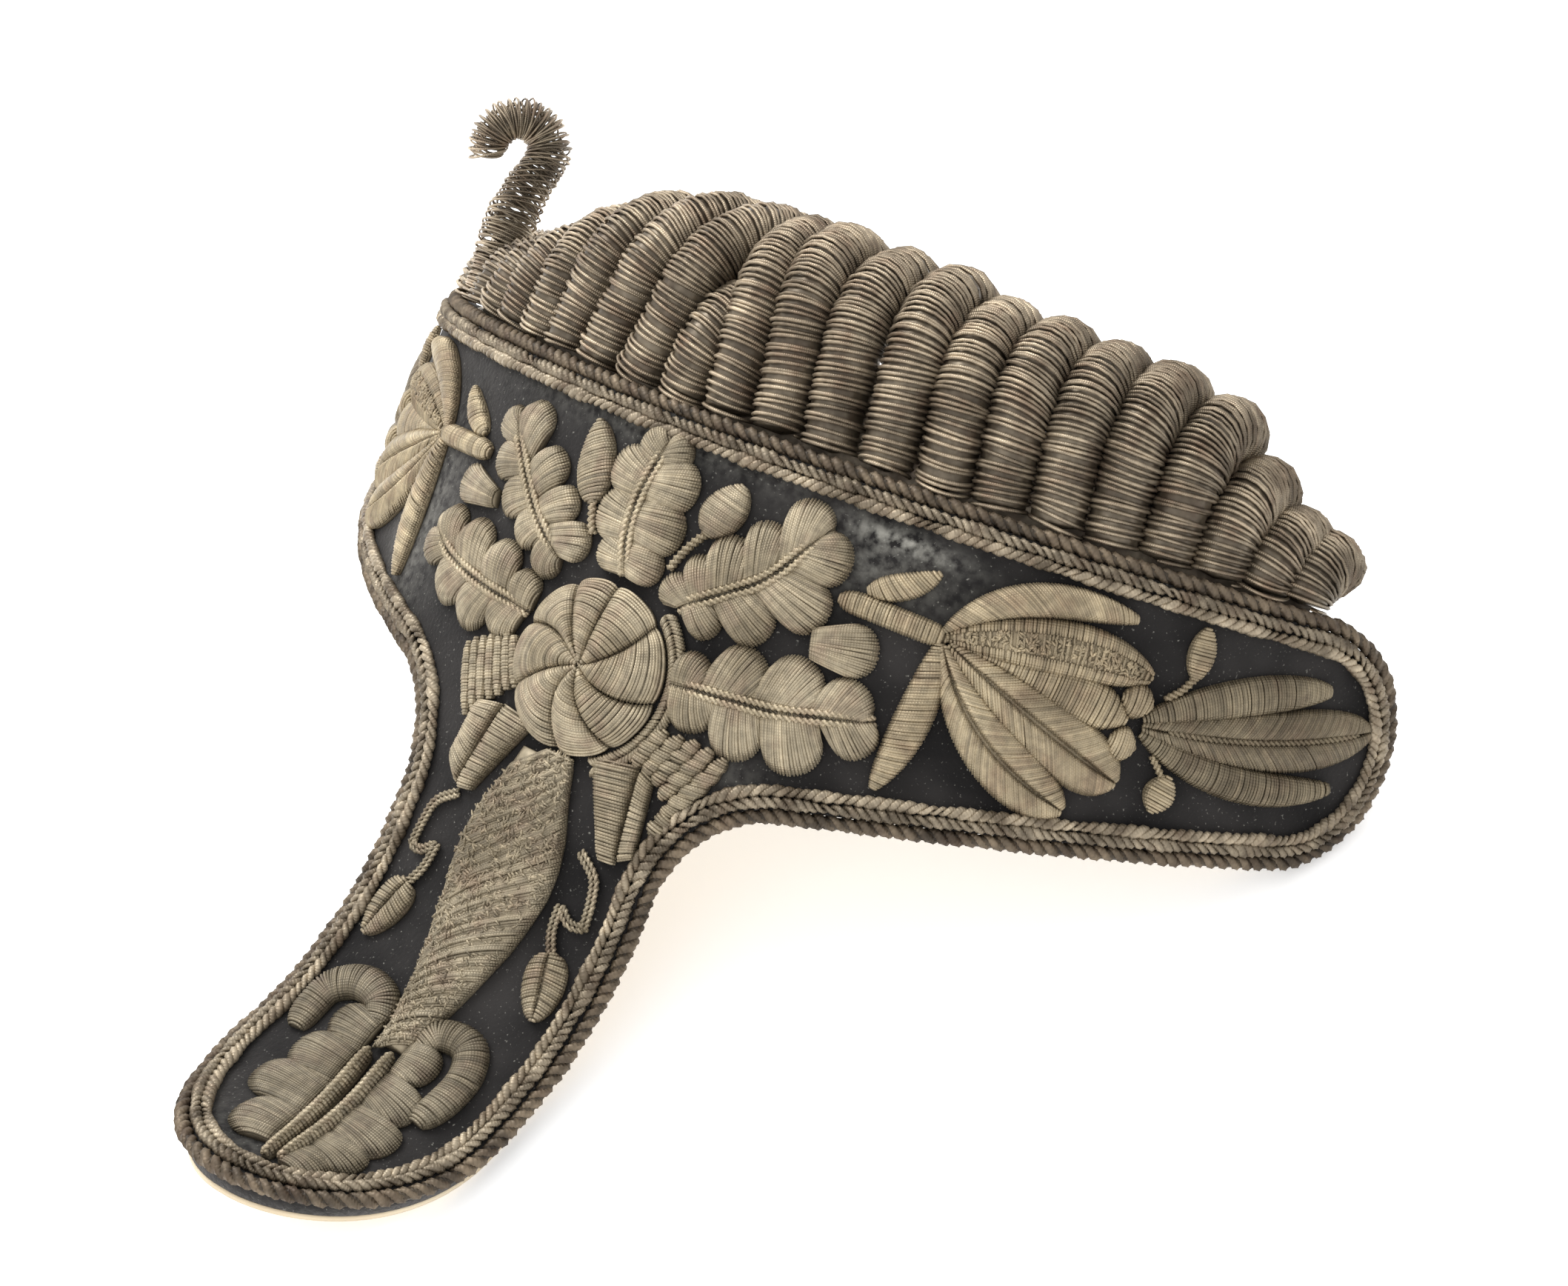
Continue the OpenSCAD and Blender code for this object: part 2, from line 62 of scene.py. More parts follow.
# Velvet board
# A stiff T-shaped board, padded with felt and covered with dark velvet. It is cut flat
# and then bent: the wing over the shoulder, the strap up toward the neck. The flat
# pattern has u across the wing and v up from the strap, in mm, with the rosette at 0.
mm = 0.001
bend_r = 110.0
strap_flat = 33.0
strap_r = 57.0
rest_tilt = np.radians(40.1)
rosette_y = 1.5
rosette_z = 41.755
board_t = 4.0
strap_w = 25.3
strap_end = 75.0
strap_round = 28.5
corner_r = 22.0
corner_v = 28.2
wing_slope = np.radians(15.0)
wing_r = 18.6
wing_end = 114.3
top_v = 44.2
edge_power = 1.8
corner_u = strap_w + corner_r
wing_end_v = (-corner_v + corner_r * np.cos(wing_slope)
              + np.tan(wing_slope) * (wing_end - corner_u + corner_r * np.sin(wing_slope))
              + wing_r / np.cos(wing_slope))


def unit(p):
    """Each direction divided by its own length."""
    return p / np.maximum(np.linalg.norm(p, axis=-1, keepdims=True), 1e-9)


def tilted(p):
    """Points turned about x by the angle at which the epaulette rests on the table."""
    x, y, z = np.moveaxis(np.asarray(p, float), -1, 0)
    c, s = np.cos(rest_tilt), np.sin(rest_tilt)
    return np.stack([x, y * c - z * s, y * s + z * c], -1)


def outward(u, v):
    """The way out of the board's face: up, leaned by the wing's bend u / bend_r to the side
    and by the strap's turn, its length past strap_flat / strap_r, toward the rosette."""
    bend = u / bend_r
    turn = np.maximum(-v - strap_flat, 0) / strap_r
    return tilted(unit(np.stack([
        np.sin(bend) * np.cos(turn),
        np.cos(bend) * np.sin(turn),
        np.cos(bend) * np.cos(turn)], -1)))


def on_board(u, v, h):
    """Points in metres at height h over the flat pattern's place u, v: the place is carried
    round the arc of the wing and, past strap_flat, round the arc of the strap."""
    u, v, h = np.broadcast_arrays(u, v, h)
    bend = u / bend_r
    turn = np.maximum(-v - strap_flat, 0) / strap_r
    flat_v = np.maximum(v, -strap_flat)
    face = np.stack([
        bend_r * np.sin(bend),
        flat_v - strap_r * np.sin(turn),
        -bend_r * (1 - np.cos(bend)) + strap_r * (1 - np.cos(turn))], -1)
    placed = tilted(face) + h[..., None] * outward(u, v)
    return mm * (placed + [0, rosette_y, rosette_z])


def top_edge(u):
    """Height of the wing's upper edge: from the middle to the wing's end it rises as the
    distance's share to the edge power."""
    t = np.minimum(np.abs(u) / wing_end, 1) ** edge_power
    return top_v + (wing_end_v + wing_r - top_v) * t


def arc(centre, radii, start, end, count):
    """Points on an arc: the centre plus each radius times cosine and sine of the angle."""
    a = np.radians(np.linspace(start, end, count))
    return np.array(centre) + np.stack([radii[0] * np.cos(a), radii[1] * np.sin(a)], -1)


def steps(points):
    """The distances between neighbouring points of a line."""
    return np.linalg.norm(np.diff(points, axis=0), axis=1)


def spaced(points, count):
    """Points at equal distances along a line, read off between the points that it has."""
    s = np.concatenate([[0], np.cumsum(steps(points))])
    where = np.linspace(0, s[-1], count)
    return np.stack([np.interp(where, s, points[:, k]) for k in range(points.shape[1])], -1)


slope_degrees = np.degrees(wing_slope)
strap_line = np.concatenate([
    arc((0, -strap_end), (strap_w, strap_round), -86, 0, 120),
    [[strap_w, -corner_v]]])
wing_line = np.concatenate([
    arc((corner_u, -corner_v), (corner_r, corner_r), 180, 90 + slope_degrees, 60),
    arc((wing_end, wing_end_v), (wing_r, wing_r), slope_degrees - 90, 90, 120)])
top_u = wing_end * np.linspace(1, 0, 90)[1:]
top_line = np.stack([top_u, top_edge(top_u)], -1)


def grid_quads(rows, cols, close_rows=False, close_cols=False):
    """Quads between neighbours of a grid of points that is numbered row by row."""
    k = np.arange(rows if close_rows else rows - 1)[:, None]
    j = np.arange(cols if close_cols else cols - 1)[None, :]
    k1, j1 = (k + 1) % rows, (j + 1) % cols
    quads = np.stack([k * cols + j, k * cols + j1, k1 * cols + j1, k1 * cols + j], -1)
    return quads.reshape(-1, 4)


def slab(top, low):
    """A closed shell between two grids of points, whose rims are joined by a wall. Where
    its volume comes out negative, its faces are turned round."""
    rows, cols = top.shape[:2]
    size = rows * cols
    upper = grid_quads(rows, cols)
    rim = np.concatenate([
        np.arange(cols),
        np.arange(1, rows) * cols + cols - 1,
        (rows - 1) * cols + np.arange(cols - 2, -1, -1),
        np.arange(rows - 2, 0, -1) * cols])
    after = np.roll(rim, -1)
    walls = np.stack([rim, rim + size, after + size, after], -1)
    points = np.concatenate([top.reshape(-1, 3), low.reshape(-1, 3)])
    faces = np.concatenate([upper, upper[:, ::-1] + size, walls])
    a, b, c, d = np.moveaxis(points[faces] - points.mean(axis=0), 1, 0)
    volume = np.sum(np.cross(a, b) * c) + np.sum(np.cross(a, c) * d)
    return points, [faces if volume > 0 else faces[:, ::-1]]


def make_piece(name, parts, material, slot, *nodes):
    """One object from parts of points, faces and marks. The marks go to the vector attribute
    that the materials read, and the piece rides on the body and stands for its nodes."""
    offset, faces = 0, []
    for points, part_faces, marks in parts:
        faces += [f + offset for f in part_faces]
        offset += len(points)
    sizes = np.concatenate([np.full(len(f), f.shape[1]) for f in faces])
    corners = np.concatenate([f.ravel() for f in faces])
    mesh = bpy.data.meshes.new(name)
    mesh.vertices.add(offset)
    mesh.vertices.foreach_set("co", np.concatenate([p[0] for p in parts]).ravel())
    mesh.loops.add(len(corners))
    mesh.loops.foreach_set("vertex_index", corners)
    mesh.polygons.add(len(sizes))
    mesh.polygons.foreach_set("loop_start", np.cumsum(sizes) - sizes)
    mesh.polygons.foreach_set("use_smooth", np.ones(len(sizes), bool))
    mesh.update(calc_edges=True)
    marks = np.concatenate([np.broadcast_to(p[2], (len(p[0]), 3)) for p in parts])
    mesh.attributes.new("marks", "FLOAT_VECTOR", "POINT").data.foreach_set("vector", marks.ravel())
    mesh.materials.append(material)
    piece = bpy.data.objects.new(name, mesh)
    scene.collection.objects.link(piece)
    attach(piece, "root")
    if nodes:
        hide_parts(*nodes)
    return piece


def add(material, kind, inputs=(), **settings):
    """A shader node with its settings, whose sockets get a number, a colour or a link."""
    node = material.node_tree.nodes.new(kind)
    for name, value in settings.items():
        setattr(node, name, value)
    for socket, value in dict(inputs).items():
        if isinstance(value, bpy.types.NodeSocket):
            material.node_tree.links.new(value, node.inputs[socket])
        else:
            node.inputs[socket].default_value = value
    return node


def start_material(name, constants):
    """A new node material: its surface shader with the constants set, and the sockets that
    most of them read."""
    material = bpy.data.materials.new(name)
    material.use_nodes = True
    shader = material.node_tree.nodes["Principled BSDF"]
    for socket, value in constants.items():
        shader.inputs[socket].default_value = value
    place = add(material, "ShaderNodeTexCoord").outputs["Object"]
    marks = add(material, "ShaderNodeAttribute", attribute_name="marks").outputs["Vector"]
    parts = add(material, "ShaderNodeSeparateXYZ", {0: marks}).outputs
    return material, shader, place, parts


def noise(material, place, size_mm, detail=2.0):
    """Noise whose blotches are about size_mm across."""
    return add(material, "ShaderNodeTexNoise",
               {"Vector": place, "Scale": 1000 / size_mm, "Detail": detail}).outputs["Fac"]


def ramp(material, factor, low, high, first=0.0, last=1.0):
    """A number that runs from first to last while factor runs from low to high."""
    return add(material, "ShaderNodeMapRange", {
        "Value": factor, "From Min": low, "From Max": high,
        "To Min": first, "To Max": last}).outputs["Result"]


def blend(material, factor, a, b, kind="MIX"):
    """Two colours mixed, or multiplied, by a factor."""
    return add(material, "ShaderNodeMix", {0: factor, 6: a, 7: b},
               data_type="RGBA", blend_type=kind).outputs[2]


def times(material, a, b):
    """One number times another."""
    return add(material, "ShaderNodeMath", {0: a, 1: b}, operation="MULTIPLY").outputs[0]


def feed(material, shader, socket, output):
    """A link from a node's output to a socket of the surface shader."""
    material.node_tree.links.new(output, shader.inputs[socket])


def relief(material, shader, height, strength, depth):
    """Fine relief on the surface, of a height that runs from 0 to 1 and a depth in metres."""
    feed(material, shader, "Normal", add(material, "ShaderNodeBump", {
        "Strength": strength, "Distance": depth, "Height": height}).outputs[0])


velvet_dark = (0.0085, 0.0078, 0.0078, 1)
velvet_light = (0.03, 0.0275, 0.0265, 1)
velvet_worn = (0.36, 0.35, 0.31, 1)
velvet, shader, place, marks = start_material("worn dark velvet", {
    "Roughness": 0.92, "Specular IOR Level": 0.2, "Sheen Weight": 0.35, "Sheen Roughness": 0.4,
    "Sheen Tint": (0.6, 0.58, 0.56, 1)})
pile = blend(velvet, ramp(velvet, noise(velvet, place, 14), 0.35, 0.7), velvet_dark, velvet_light)
wear = times(velvet, marks[2], ramp(velvet, noise(velvet, place, 1.6, 4), 0.35, 0.65))
lint = ramp(velvet, noise(velvet, place, 0.5, 2), 0.66, 0.78, 0, 0.5)
pile = blend(velvet, lint, pile, velvet_worn)
feed(velvet, shader, "Base Color", blend(velvet, wear, pile, velvet_worn))
relief(velvet, shader, noise(velvet, place, 0.7, 3), 0.5, 0.0003)

# Rows of the board end on its outline. Strap rows are level, and wing rows spread from
# the strap's corner to the upper edge
strap_rows = spaced(strap_line, 46)
wing_rows = spaced(wing_line, 70)[1:]
row_ends = np.concatenate([strap_rows, wing_rows])
row_middles = np.concatenate([
    strap_rows[:, 1], np.linspace(-corner_v, top_v, len(wing_rows) + 1)[1:]])
share = np.linspace(-1, 1, 91)
board_u = row_ends[:, :1] * share
row_middles = row_middles[:, None]
board_v = row_middles + (row_ends[:, 1:] - row_middles) * np.abs(share) ** edge_power
swell = 0.1 * np.sin(board_u * 0.23 + 1) * np.sin(board_v * 0.31)


def worn_at(strength, u, v, size_u, size_v):
    """A soft spot: its strength times e to minus the squares of the distances over its sizes."""
    return strength * np.exp(-((board_u - u) / size_u) ** 2 - ((board_v - v) / size_v) ** 2)


# One row for each worn spot: strength, place in u and v, size in u and v
worn_spots = [
    (0.3, -52, 12, 9, 16),
    (0.2, -88, 20, 8, 14),
    (0.28, 42, 34, 12, 6),
    (0.8, 44, 38.6, 8, 1.3),
    (0.25, -3, 41, 30, 3),
    (0.2, 28, -5, 8, 3),
    (0.12, 0, -95, 20, 6)]
worn = np.clip(sum(worn_at(*spot) for spot in worn_spots), 0, 1)
points, faces = slab(on_board(board_u, board_v, swell), on_board(board_u, board_v, -board_t))
board_marks = np.tile(np.stack([board_u, board_v, worn], -1).reshape(-1, 3), (2, 1))
board = make_piece("padded_velvet_board", [(points, faces, board_marks)], velvet, "velvet",
                   "velvet_board")

# Lining
# Thin cream silk, stretched over the board's underside and sewn down along its edge. Its
# rim shows past the strap's end.
lining_gap = 0.1
lining_t = 0.9
pad_t = board_t + lining_gap + lining_t
cream_light = (0.78, 0.66, 0.47, 1)
cream_dark = (0.6, 0.47, 0.3, 1)

silk, shader, place, marks = start_material("cream silk", {"Roughness": 0.55, "Sheen Weight": 0.15})
feed(silk, shader, "Base Color",
     blend(silk, ramp(silk, noise(silk, place, 20), 0.35, 0.7), cream_light, cream_dark))
weave = add(silk, "ShaderNodeTexWave", {"Vector": place, "Scale": 600.0, "Distortion": 2.0})
relief(silk, shader, weave.outputs["Fac"], 0.25, 0.0001)
points, faces = slab(on_board(board_u, board_v, -board_t - lining_gap),
                     on_board(board_u, board_v, -pad_t))
lining = make_piece("silk_lining", [(points, faces, board_marks)], silk, "lining", "lining")
half_line = np.concatenate([strap_line, wing_line, top_line])
outline = np.concatenate([[[0, -strap_end - strap_round]], half_line,
                          (half_line * [-1, 1])[-2::-1]])
after = np.roll(outline, -1, axis=0)

# Edge rope
# A dark rope of two plies of tarnished metal thread, laid round the board's edge and
# sewn to its side. A dark core inside it shows in the grooves between the plies as
# painted shade.
rope_out = 1.05
rope_depth = -0.3
rope_pitch = 4.4
# The core's radius and dark tone: painted shade that shows in the grooves between the plies
rope_core_r = 0.95
rope_core_shade_tone = 0.4
end_share = 0.6
rng = np.random.default_rng(7)


def left_of(way):
    """Directions on the flat pattern, turned to the left by a right angle."""
    return np.stack([-way[..., 1], way[..., 0]], -1)


def round_way(points, axis=0):
    """The way along a closed line: at each point, from the one before to the one after."""
    return np.roll(points, -1, axis=axis) - np.roll(points, 1, axis=axis)


def tubes(paths, up, radius, sides, tones, closed=False):
    """Round threads along many paths at once: each ring is the path's point plus the radius
    times cosine and sine round its direction. Their ends are drawn in to a point, or the
    paths close. The marks are the length along in mm, the tone and the share of the length."""
    many, count = paths.shape[:2]
    way = unit(round_way(paths, 1) if closed else np.gradient(paths, axis=1))
    side = unit(np.cross(up, way))
    over = np.cross(way, side)
    a = 2 * np.pi * np.arange(sides) / sides
    radius = radius * np.ones((many, count))
    if not closed:
        radius[:, [0, -1]] *= end_share
    ring = np.cos(a)[:, None] * side[:, :, None] + np.sin(a)[:, None] * over[:, :, None]
    rings = paths[:, :, None] + mm * radius[:, :, None, None] * ring
    first = (np.arange(many) * count * sides)[:, None, None]
    quads = (first + grid_quads(count, sides, closed, True)[None]).reshape(-1, 4)
    points = rings.reshape(-1, 3)
    apart = np.linalg.norm(np.diff(paths, axis=1), axis=-1) / mm
    along = np.concatenate([np.zeros((many, 1)), np.cumsum(apart, axis=1)], axis=1)
    marks = np.stack([along, np.broadcast_to(np.reshape(tones, (many, -1)), along.shape),
                      along / np.maximum(along[:, -1:], 1e-6)], -1)
    ring_marks = np.repeat(marks.reshape(-1, 3), sides, axis=0)
    if closed:
        return points, [quads], ring_marks
    j = np.arange(sides)
    j1 = (j + 1) % sides
    start = first[:, :, 0]
    end = start + (count - 1) * sides
    pole = len(points) + np.arange(many)[:, None] + 0 * j
    caps = np.concatenate([np.stack([pole, start + j1, start + j], -1),
                           np.stack([pole + many, end + j, end + j1], -1)]).reshape(-1, 3)
    return (np.concatenate([points, paths[:, 0], paths[:, -1]]), [quads, caps],
            np.concatenate([ring_marks, marks[:, 0], marks[:, -1]]))


def wander(s, size):
    """A slow uneven drift along a line: three sines of whole counts with drawn phases, so
    that on a closed line its end meets its start."""
    waves = [np.sin(2 * np.pi * (count * s + rng.uniform())) for count in (37, 61, 103)]
    return size * sum(waves)


def plied(path, side, up, radius, orbit, turns, sides=5, closed=False, tone=1.0, flat=1.0,
          uneven=0.0):
    """Two plies twisted round each other: each runs at the orbit's distance from the path,
    and its angle grows by the number of turns, with an uneven drift. flat squeezes the
    cord's height. An uneven cord also swells and narrows."""
    count = len(path)
    s = np.arange(count) / (count if closed else count - 1)
    angle = 2 * np.pi * (turns * s[None] + np.array([[0.0], [0.5]])) + wander(s, uneven)
    radial = np.cos(angle)[..., None] * side + flat * np.sin(angle)[..., None] * up
    paths = path + mm * orbit * radial
    tones = tone * np.array([1.0, 0.93])
    return tubes(paths, unit(radial), radius * (1 + wander(s, 0.45 * uneven)), sides, tones, closed)


def edge_path(inward_mm, h, count):
    """The closed line that follows the outline, moved inward and placed at a height."""
    p = spaced(np.concatenate([outline, outline[:1]]), count + 1)[:-1]
    u, v = (p + left_of(unit(round_way(p))) * inward_mm).T
    path, up = on_board(u, v, h), outward(u, v)
    return path, unit(np.cross(up, round_way(path))), up


def thread_metal(name, shadow, body, brown, roughness, metallic, ridge_mm, patch_mm=11):
    """Tarnished gilt thread: its colour runs from shadow to body in patches, browner in
    places, with each thread's own tone. Fine ridges across it are the windings of its wire."""
    material, shader, place, marks = start_material(name, {"Metallic": metallic})
    patches = ramp(material, noise(material, place, patch_mm, 3), 0.36, 0.64)
    colour = blend(material, patches, shadow, body)
    colour = blend(material, ramp(material, noise(material, place, 4.5, 3), 0.5, 0.72, 0, 0.75),
                   colour, brown)
    grime = ramp(material, noise(material, place, 1.4, 3), 0.3, 0.62, 0.8, 1.1)
    tone = times(material, marks[1], grime)
    grey = add(material, "ShaderNodeCombineColor", {0: tone, 1: tone, 2: tone}).outputs[0]
    feed(material, shader, "Base Color", blend(material, 1.0, colour, grey, "MULTIPLY"))
    rough = ramp(material, noise(material, place, 1.2), 0.3, 0.7, roughness - 0.1, roughness + 0.12)
    feed(material, shader, "Roughness", rough)
    angle = times(material, marks[0], 2 * np.pi / ridge_mm)
    ridge = add(material, "ShaderNodeMath", {0: angle}, operation="SINE").outputs[0]
    relief(material, shader, ridge, 0.35, 0.00008)
    return material


outline_length = np.linalg.norm(after - outline, axis=1).sum()
rope_metal = thread_metal("dark rope thread", (0.065, 0.048, 0.032, 1), (0.215, 0.165, 0.11, 1),
                          (0.085, 0.054, 0.034, 1), 0.55, 0.45, 0.5, 6)
turns = round(outline_length / rope_pitch)
path, side, up = edge_path(-rope_out, rope_depth, turns * 12)
rope_shade_core = tubes(path[None], up[None], rope_core_r, 6, rope_core_shade_tone, True)
make_piece("two_ply_edge_rope",
           [plied(path, side, up, 0.85, 0.58, turns, closed=True, uneven=0.14), rope_shade_core],
           rope_metal, "edge_rope", "edge_rope")

# Border braid
# Two flattened cords of metal thread side by side inside the rope. They are twisted
# opposite ways, so that they read as one chain braid, and are couched onto the velvet.
braid_metal = thread_metal("border cord thread", (0.12, 0.092, 0.06, 1), (0.44, 0.365, 0.26, 1),
                           (0.14, 0.095, 0.06, 1), 0.48, 0.45, 0.4, 5)
braid_pitch = 3.2
turns = round(outline_length / braid_pitch)
cords = []
for inward_mm, way, tone in [(1.1, 1, 0.85), (2.9, -1, 1.05)]:
    path, side, up = edge_path(inward_mm, 0.9, turns * 11)
    cords.append(plied(path, side, up, 0.62, 0.46, way * turns, 5, True, tone, 0.85, uneven=0.32))
make_piece("border_cords", cords, braid_metal, "border_braid", "border_braid")

# Oak leaves
# Five lobed leaves over card and felt padding. Metal threads are laid side by side from
# the rib out to the round end of every lobe, and bright cords are couched along the rib.
foot = 0.3
thread_pitch = 0.44
thread_r = 0.3
relief_h = 2.0
gilt_shadow = (0.235, 0.192, 0.126, 1)
gilt_body = (0.4, 0.338, 0.235, 1)
gilt_brown = (0.245, 0.18, 0.125, 1)
gilt = thread_metal("tarnished gilt thread", gilt_shadow, gilt_body, gilt_brown, 0.5, 0.45, 0.45)


def bent(axis, t):
    """Points of a line that bends from the first point by way of the second to the third,
    whose shares are (1 - t)^2, 2 t (1 - t) and t^2, and the direction to its left."""
    a, b, c = np.array(axis, float)
    t = t[..., None]
    left = left_of(unit((1 - t) * (b - a) + t * (c - b)))
    return (1 - t) ** 2 * a + 2 * t * (1 - t) * b + t ** 2 * c, left


def smooth_line(points, count):
    """A smooth line through the points: between two of them a cubic, whose slope at each
    point is half the step between its neighbours."""
    p = np.array(points, float)
    slope = np.gradient(p, axis=0)
    x = np.linspace(0, len(p) - 1, count)
    k = np.minimum(x.astype(int), len(p) - 2)
    f = (x - k)[:, None]
    return (p[k] * (2 * f ** 3 - 3 * f ** 2 + 1) + slope[k] * (f ** 3 - 2 * f ** 2 + f)
            + p[k + 1] * (3 * f ** 2 - 2 * f ** 3) + slope[k + 1] * (f ** 3 - f ** 2))


def half_round(x, power, steep=2, least=0.0):
    """How high a crowned form is at x, from -1 to 1: (1 - |x|^steep)^power."""
    return np.maximum(1 - np.abs(x) ** steep, least) ** power


def stitch_form(axis, w, h, blunt=0.8, full=0.55, lobes=0, groove=0.0, slant=0.0, lean=0.0,
                base=foot):
    """A padded stitch form: returns the function that gives u, v and height at t along the
    axis and q across it, from -1 to 1. Its width is a rounded spindle, sin(pi t^blunt)^full,
    notched between lobes. Its height is half round, (1 - q^2)^0.45, less a groove at q = 0."""
    def field(t, q):
        t = np.clip(t, 0.01, 0.99)
        width = np.sin(np.pi * t ** blunt) ** full
        lobe = np.abs(np.sin(np.pi * lobes * t)) ** 0.6 if lobes else np.ones_like(t)
        half = np.maximum(w * width * (0.66 + 0.36 * lobe if lobes else 1), 0.3)
        moved = np.clip(t + (slant * np.abs(q) + lean * q) * 4 * t * (1 - t), 0.01, 0.99)
        c, s = bent(axis, moved)
        crown = half_round(q, 0.45) * (1 - groove * np.exp(-(q / 0.16) ** 2))
        rise = h * (0.35 + 0.65 * width) * crown * (0.55 + 0.45 * lobe)
        return c[..., 0] - s[..., 0] * half * q, c[..., 1] - s[..., 1] * half * q, base + rise
    return field


def between(a, b, share):
    """Points on the way from a to b, by their share of it."""
    return a + (b - a) * share[..., None]


def lobe_form(rib_a, rib_b, tip, w, h):
    """A finger of a leaf, as such a function: t runs along the rib from rib_a to rib_b and
    round the finger's end, q from the rib, 0, to the end, 1. The end is a half circle of
    radius w. The height is half round across the finger and falls off at its end."""
    a, b, tip = np.array((rib_a, rib_b, tip), float)
    way = unit(tip - (a + b) / 2)
    wide = left_of(way)
    wide = wide * np.sign(wide @ (b - a))

    def field(t, q):
        angle = np.pi * t[..., None]
        end = tip - way * w * (1 - np.maximum(np.sin(angle), 0) ** 0.8) - wide * w * np.cos(angle)
        p = between(between(a, b, t), end, q)
        crown = 0.3 + 0.7 * half_round(2 * t - 1, 0.4)
        along = half_round(q, 0.5, 5) * (0.72 + 0.28 * np.sin(np.pi * q))
        return p[..., 0], p[..., 1], foot + h * crown * along
    return field


def panel_form(rail_a, rail_b, h):
    """A flat pillow between two rails: t runs along both and q from one, 0, to the other, 1.
    It is half round both ways."""
    a0, a1, b0, b1 = np.array((*rail_a, *rail_b), float)

    def field(t, q):
        p = between(between(a0, a1, t), between(b0, b1, t), q)
        crown = half_round(2 * q - 1, 0.5, 4) * half_round(2 * t - 1, 0.5, 8)
        return p[..., 0], p[..., 1], foot + h * crown
    return field


def threads(field, length, q0, q1, count=7, pitch=thread_pitch, radius=thread_r, t0=0.02, t1=0.98,
            tone=1.0):
    """Threads laid side by side over a form: one every pitch along the axis, each from q0 to
    q1 across it, with a little unevenness in place, height and tone."""
    many = max(int(length * (t1 - t0) / pitch), 3)
    t = np.linspace(t0, t1, many)[:, None] + rng.normal(0, 0.06 / length, (many, 1))
    u, v, h = field(*np.broadcast_arrays(t, np.linspace(q0, q1, count)[None]))
    h = h + rng.normal(0.02, 0.035, (many, 1))
    tones = tone * np.clip(rng.normal(1, 0.13, many), 0.65, 1.4)
    return tubes(on_board(u, v, h), outward(u, v), radius, 5, tones)


def padding(field, rows=24, cols=11, q0=-0.97, q1=0.97, tone=0.95):
    """The closed felt pad under the threads: the same form, a little lower."""
    t, q = np.meshgrid(np.linspace(0.02, 0.98, rows), np.linspace(q0, q1, cols), indexing="ij")
    u, v, h = field(t, q)
    low = np.minimum(h - 0.05, foot * 0.4)
    points, faces = slab(on_board(u, v, np.maximum(h - 0.2, low + 0.03)), on_board(u, v, low))
    return points, faces, (0.0, tone, 0.0)


def stitched(name, parts, metal, node):
    """One stitched form as an object that stands for its node."""
    make_piece(name, parts, metal, "embroidery", node)


# Where threads start and end across a form, and their number of points
edge_to_edge = ((-0.99, 0.99, 9),)
both_halves = ((0.05, 0.99, 7), (-0.05, -0.99, 7))


def satin(axis, w, h, length, tone=1.0, spans=edge_to_edge, **shape):
    """Padding and threads of a padded form."""
    field = stitch_form(axis, w, h, **shape)
    return [padding(field, tone=0.95 * tone),
            *[threads(field, length, *span, tone=tone) for span in spans]]


def finger(rib_a, rib_b, tip, w, h=relief_h, tone=1.0):
    """Padding and threads of one lobe of a leaf, with a thread for every pitch of its end."""
    field = lobe_form(rib_a, rib_b, tip, w, h)
    breadth = max(2.7 * w, np.linalg.norm(np.subtract(rib_b, rib_a)))
    return [padding(field, 10, 8, 0.0, 0.97, 0.95 * tone),
            threads(field, breadth, 0.0, 0.99, tone=tone)]


def couched(points, offset, high, radius, orbit, pitch, tone=1.0, drop=0.5):
    """A two-ply cord laid along a smooth line through the points, moved sideways by the
    offset. Its height over the board falls by the drop at both ends."""
    line = smooth_line(points, 60)
    turns = max(steps(line).sum() / pitch, 1)
    line = spaced(line, int(turns * 8) + 2)
    way = unit(np.gradient(line, axis=0))
    u, v = (line + offset * left_of(way)).T
    t = np.linspace(-1, 1, len(line))
    path, up = on_board(u, v, high - drop * t ** 8), outward(u, v)
    side = unit(np.cross(up, np.gradient(path, axis=0)))
    return plied(path, side, up, radius, orbit, turns, 4, tone=tone)


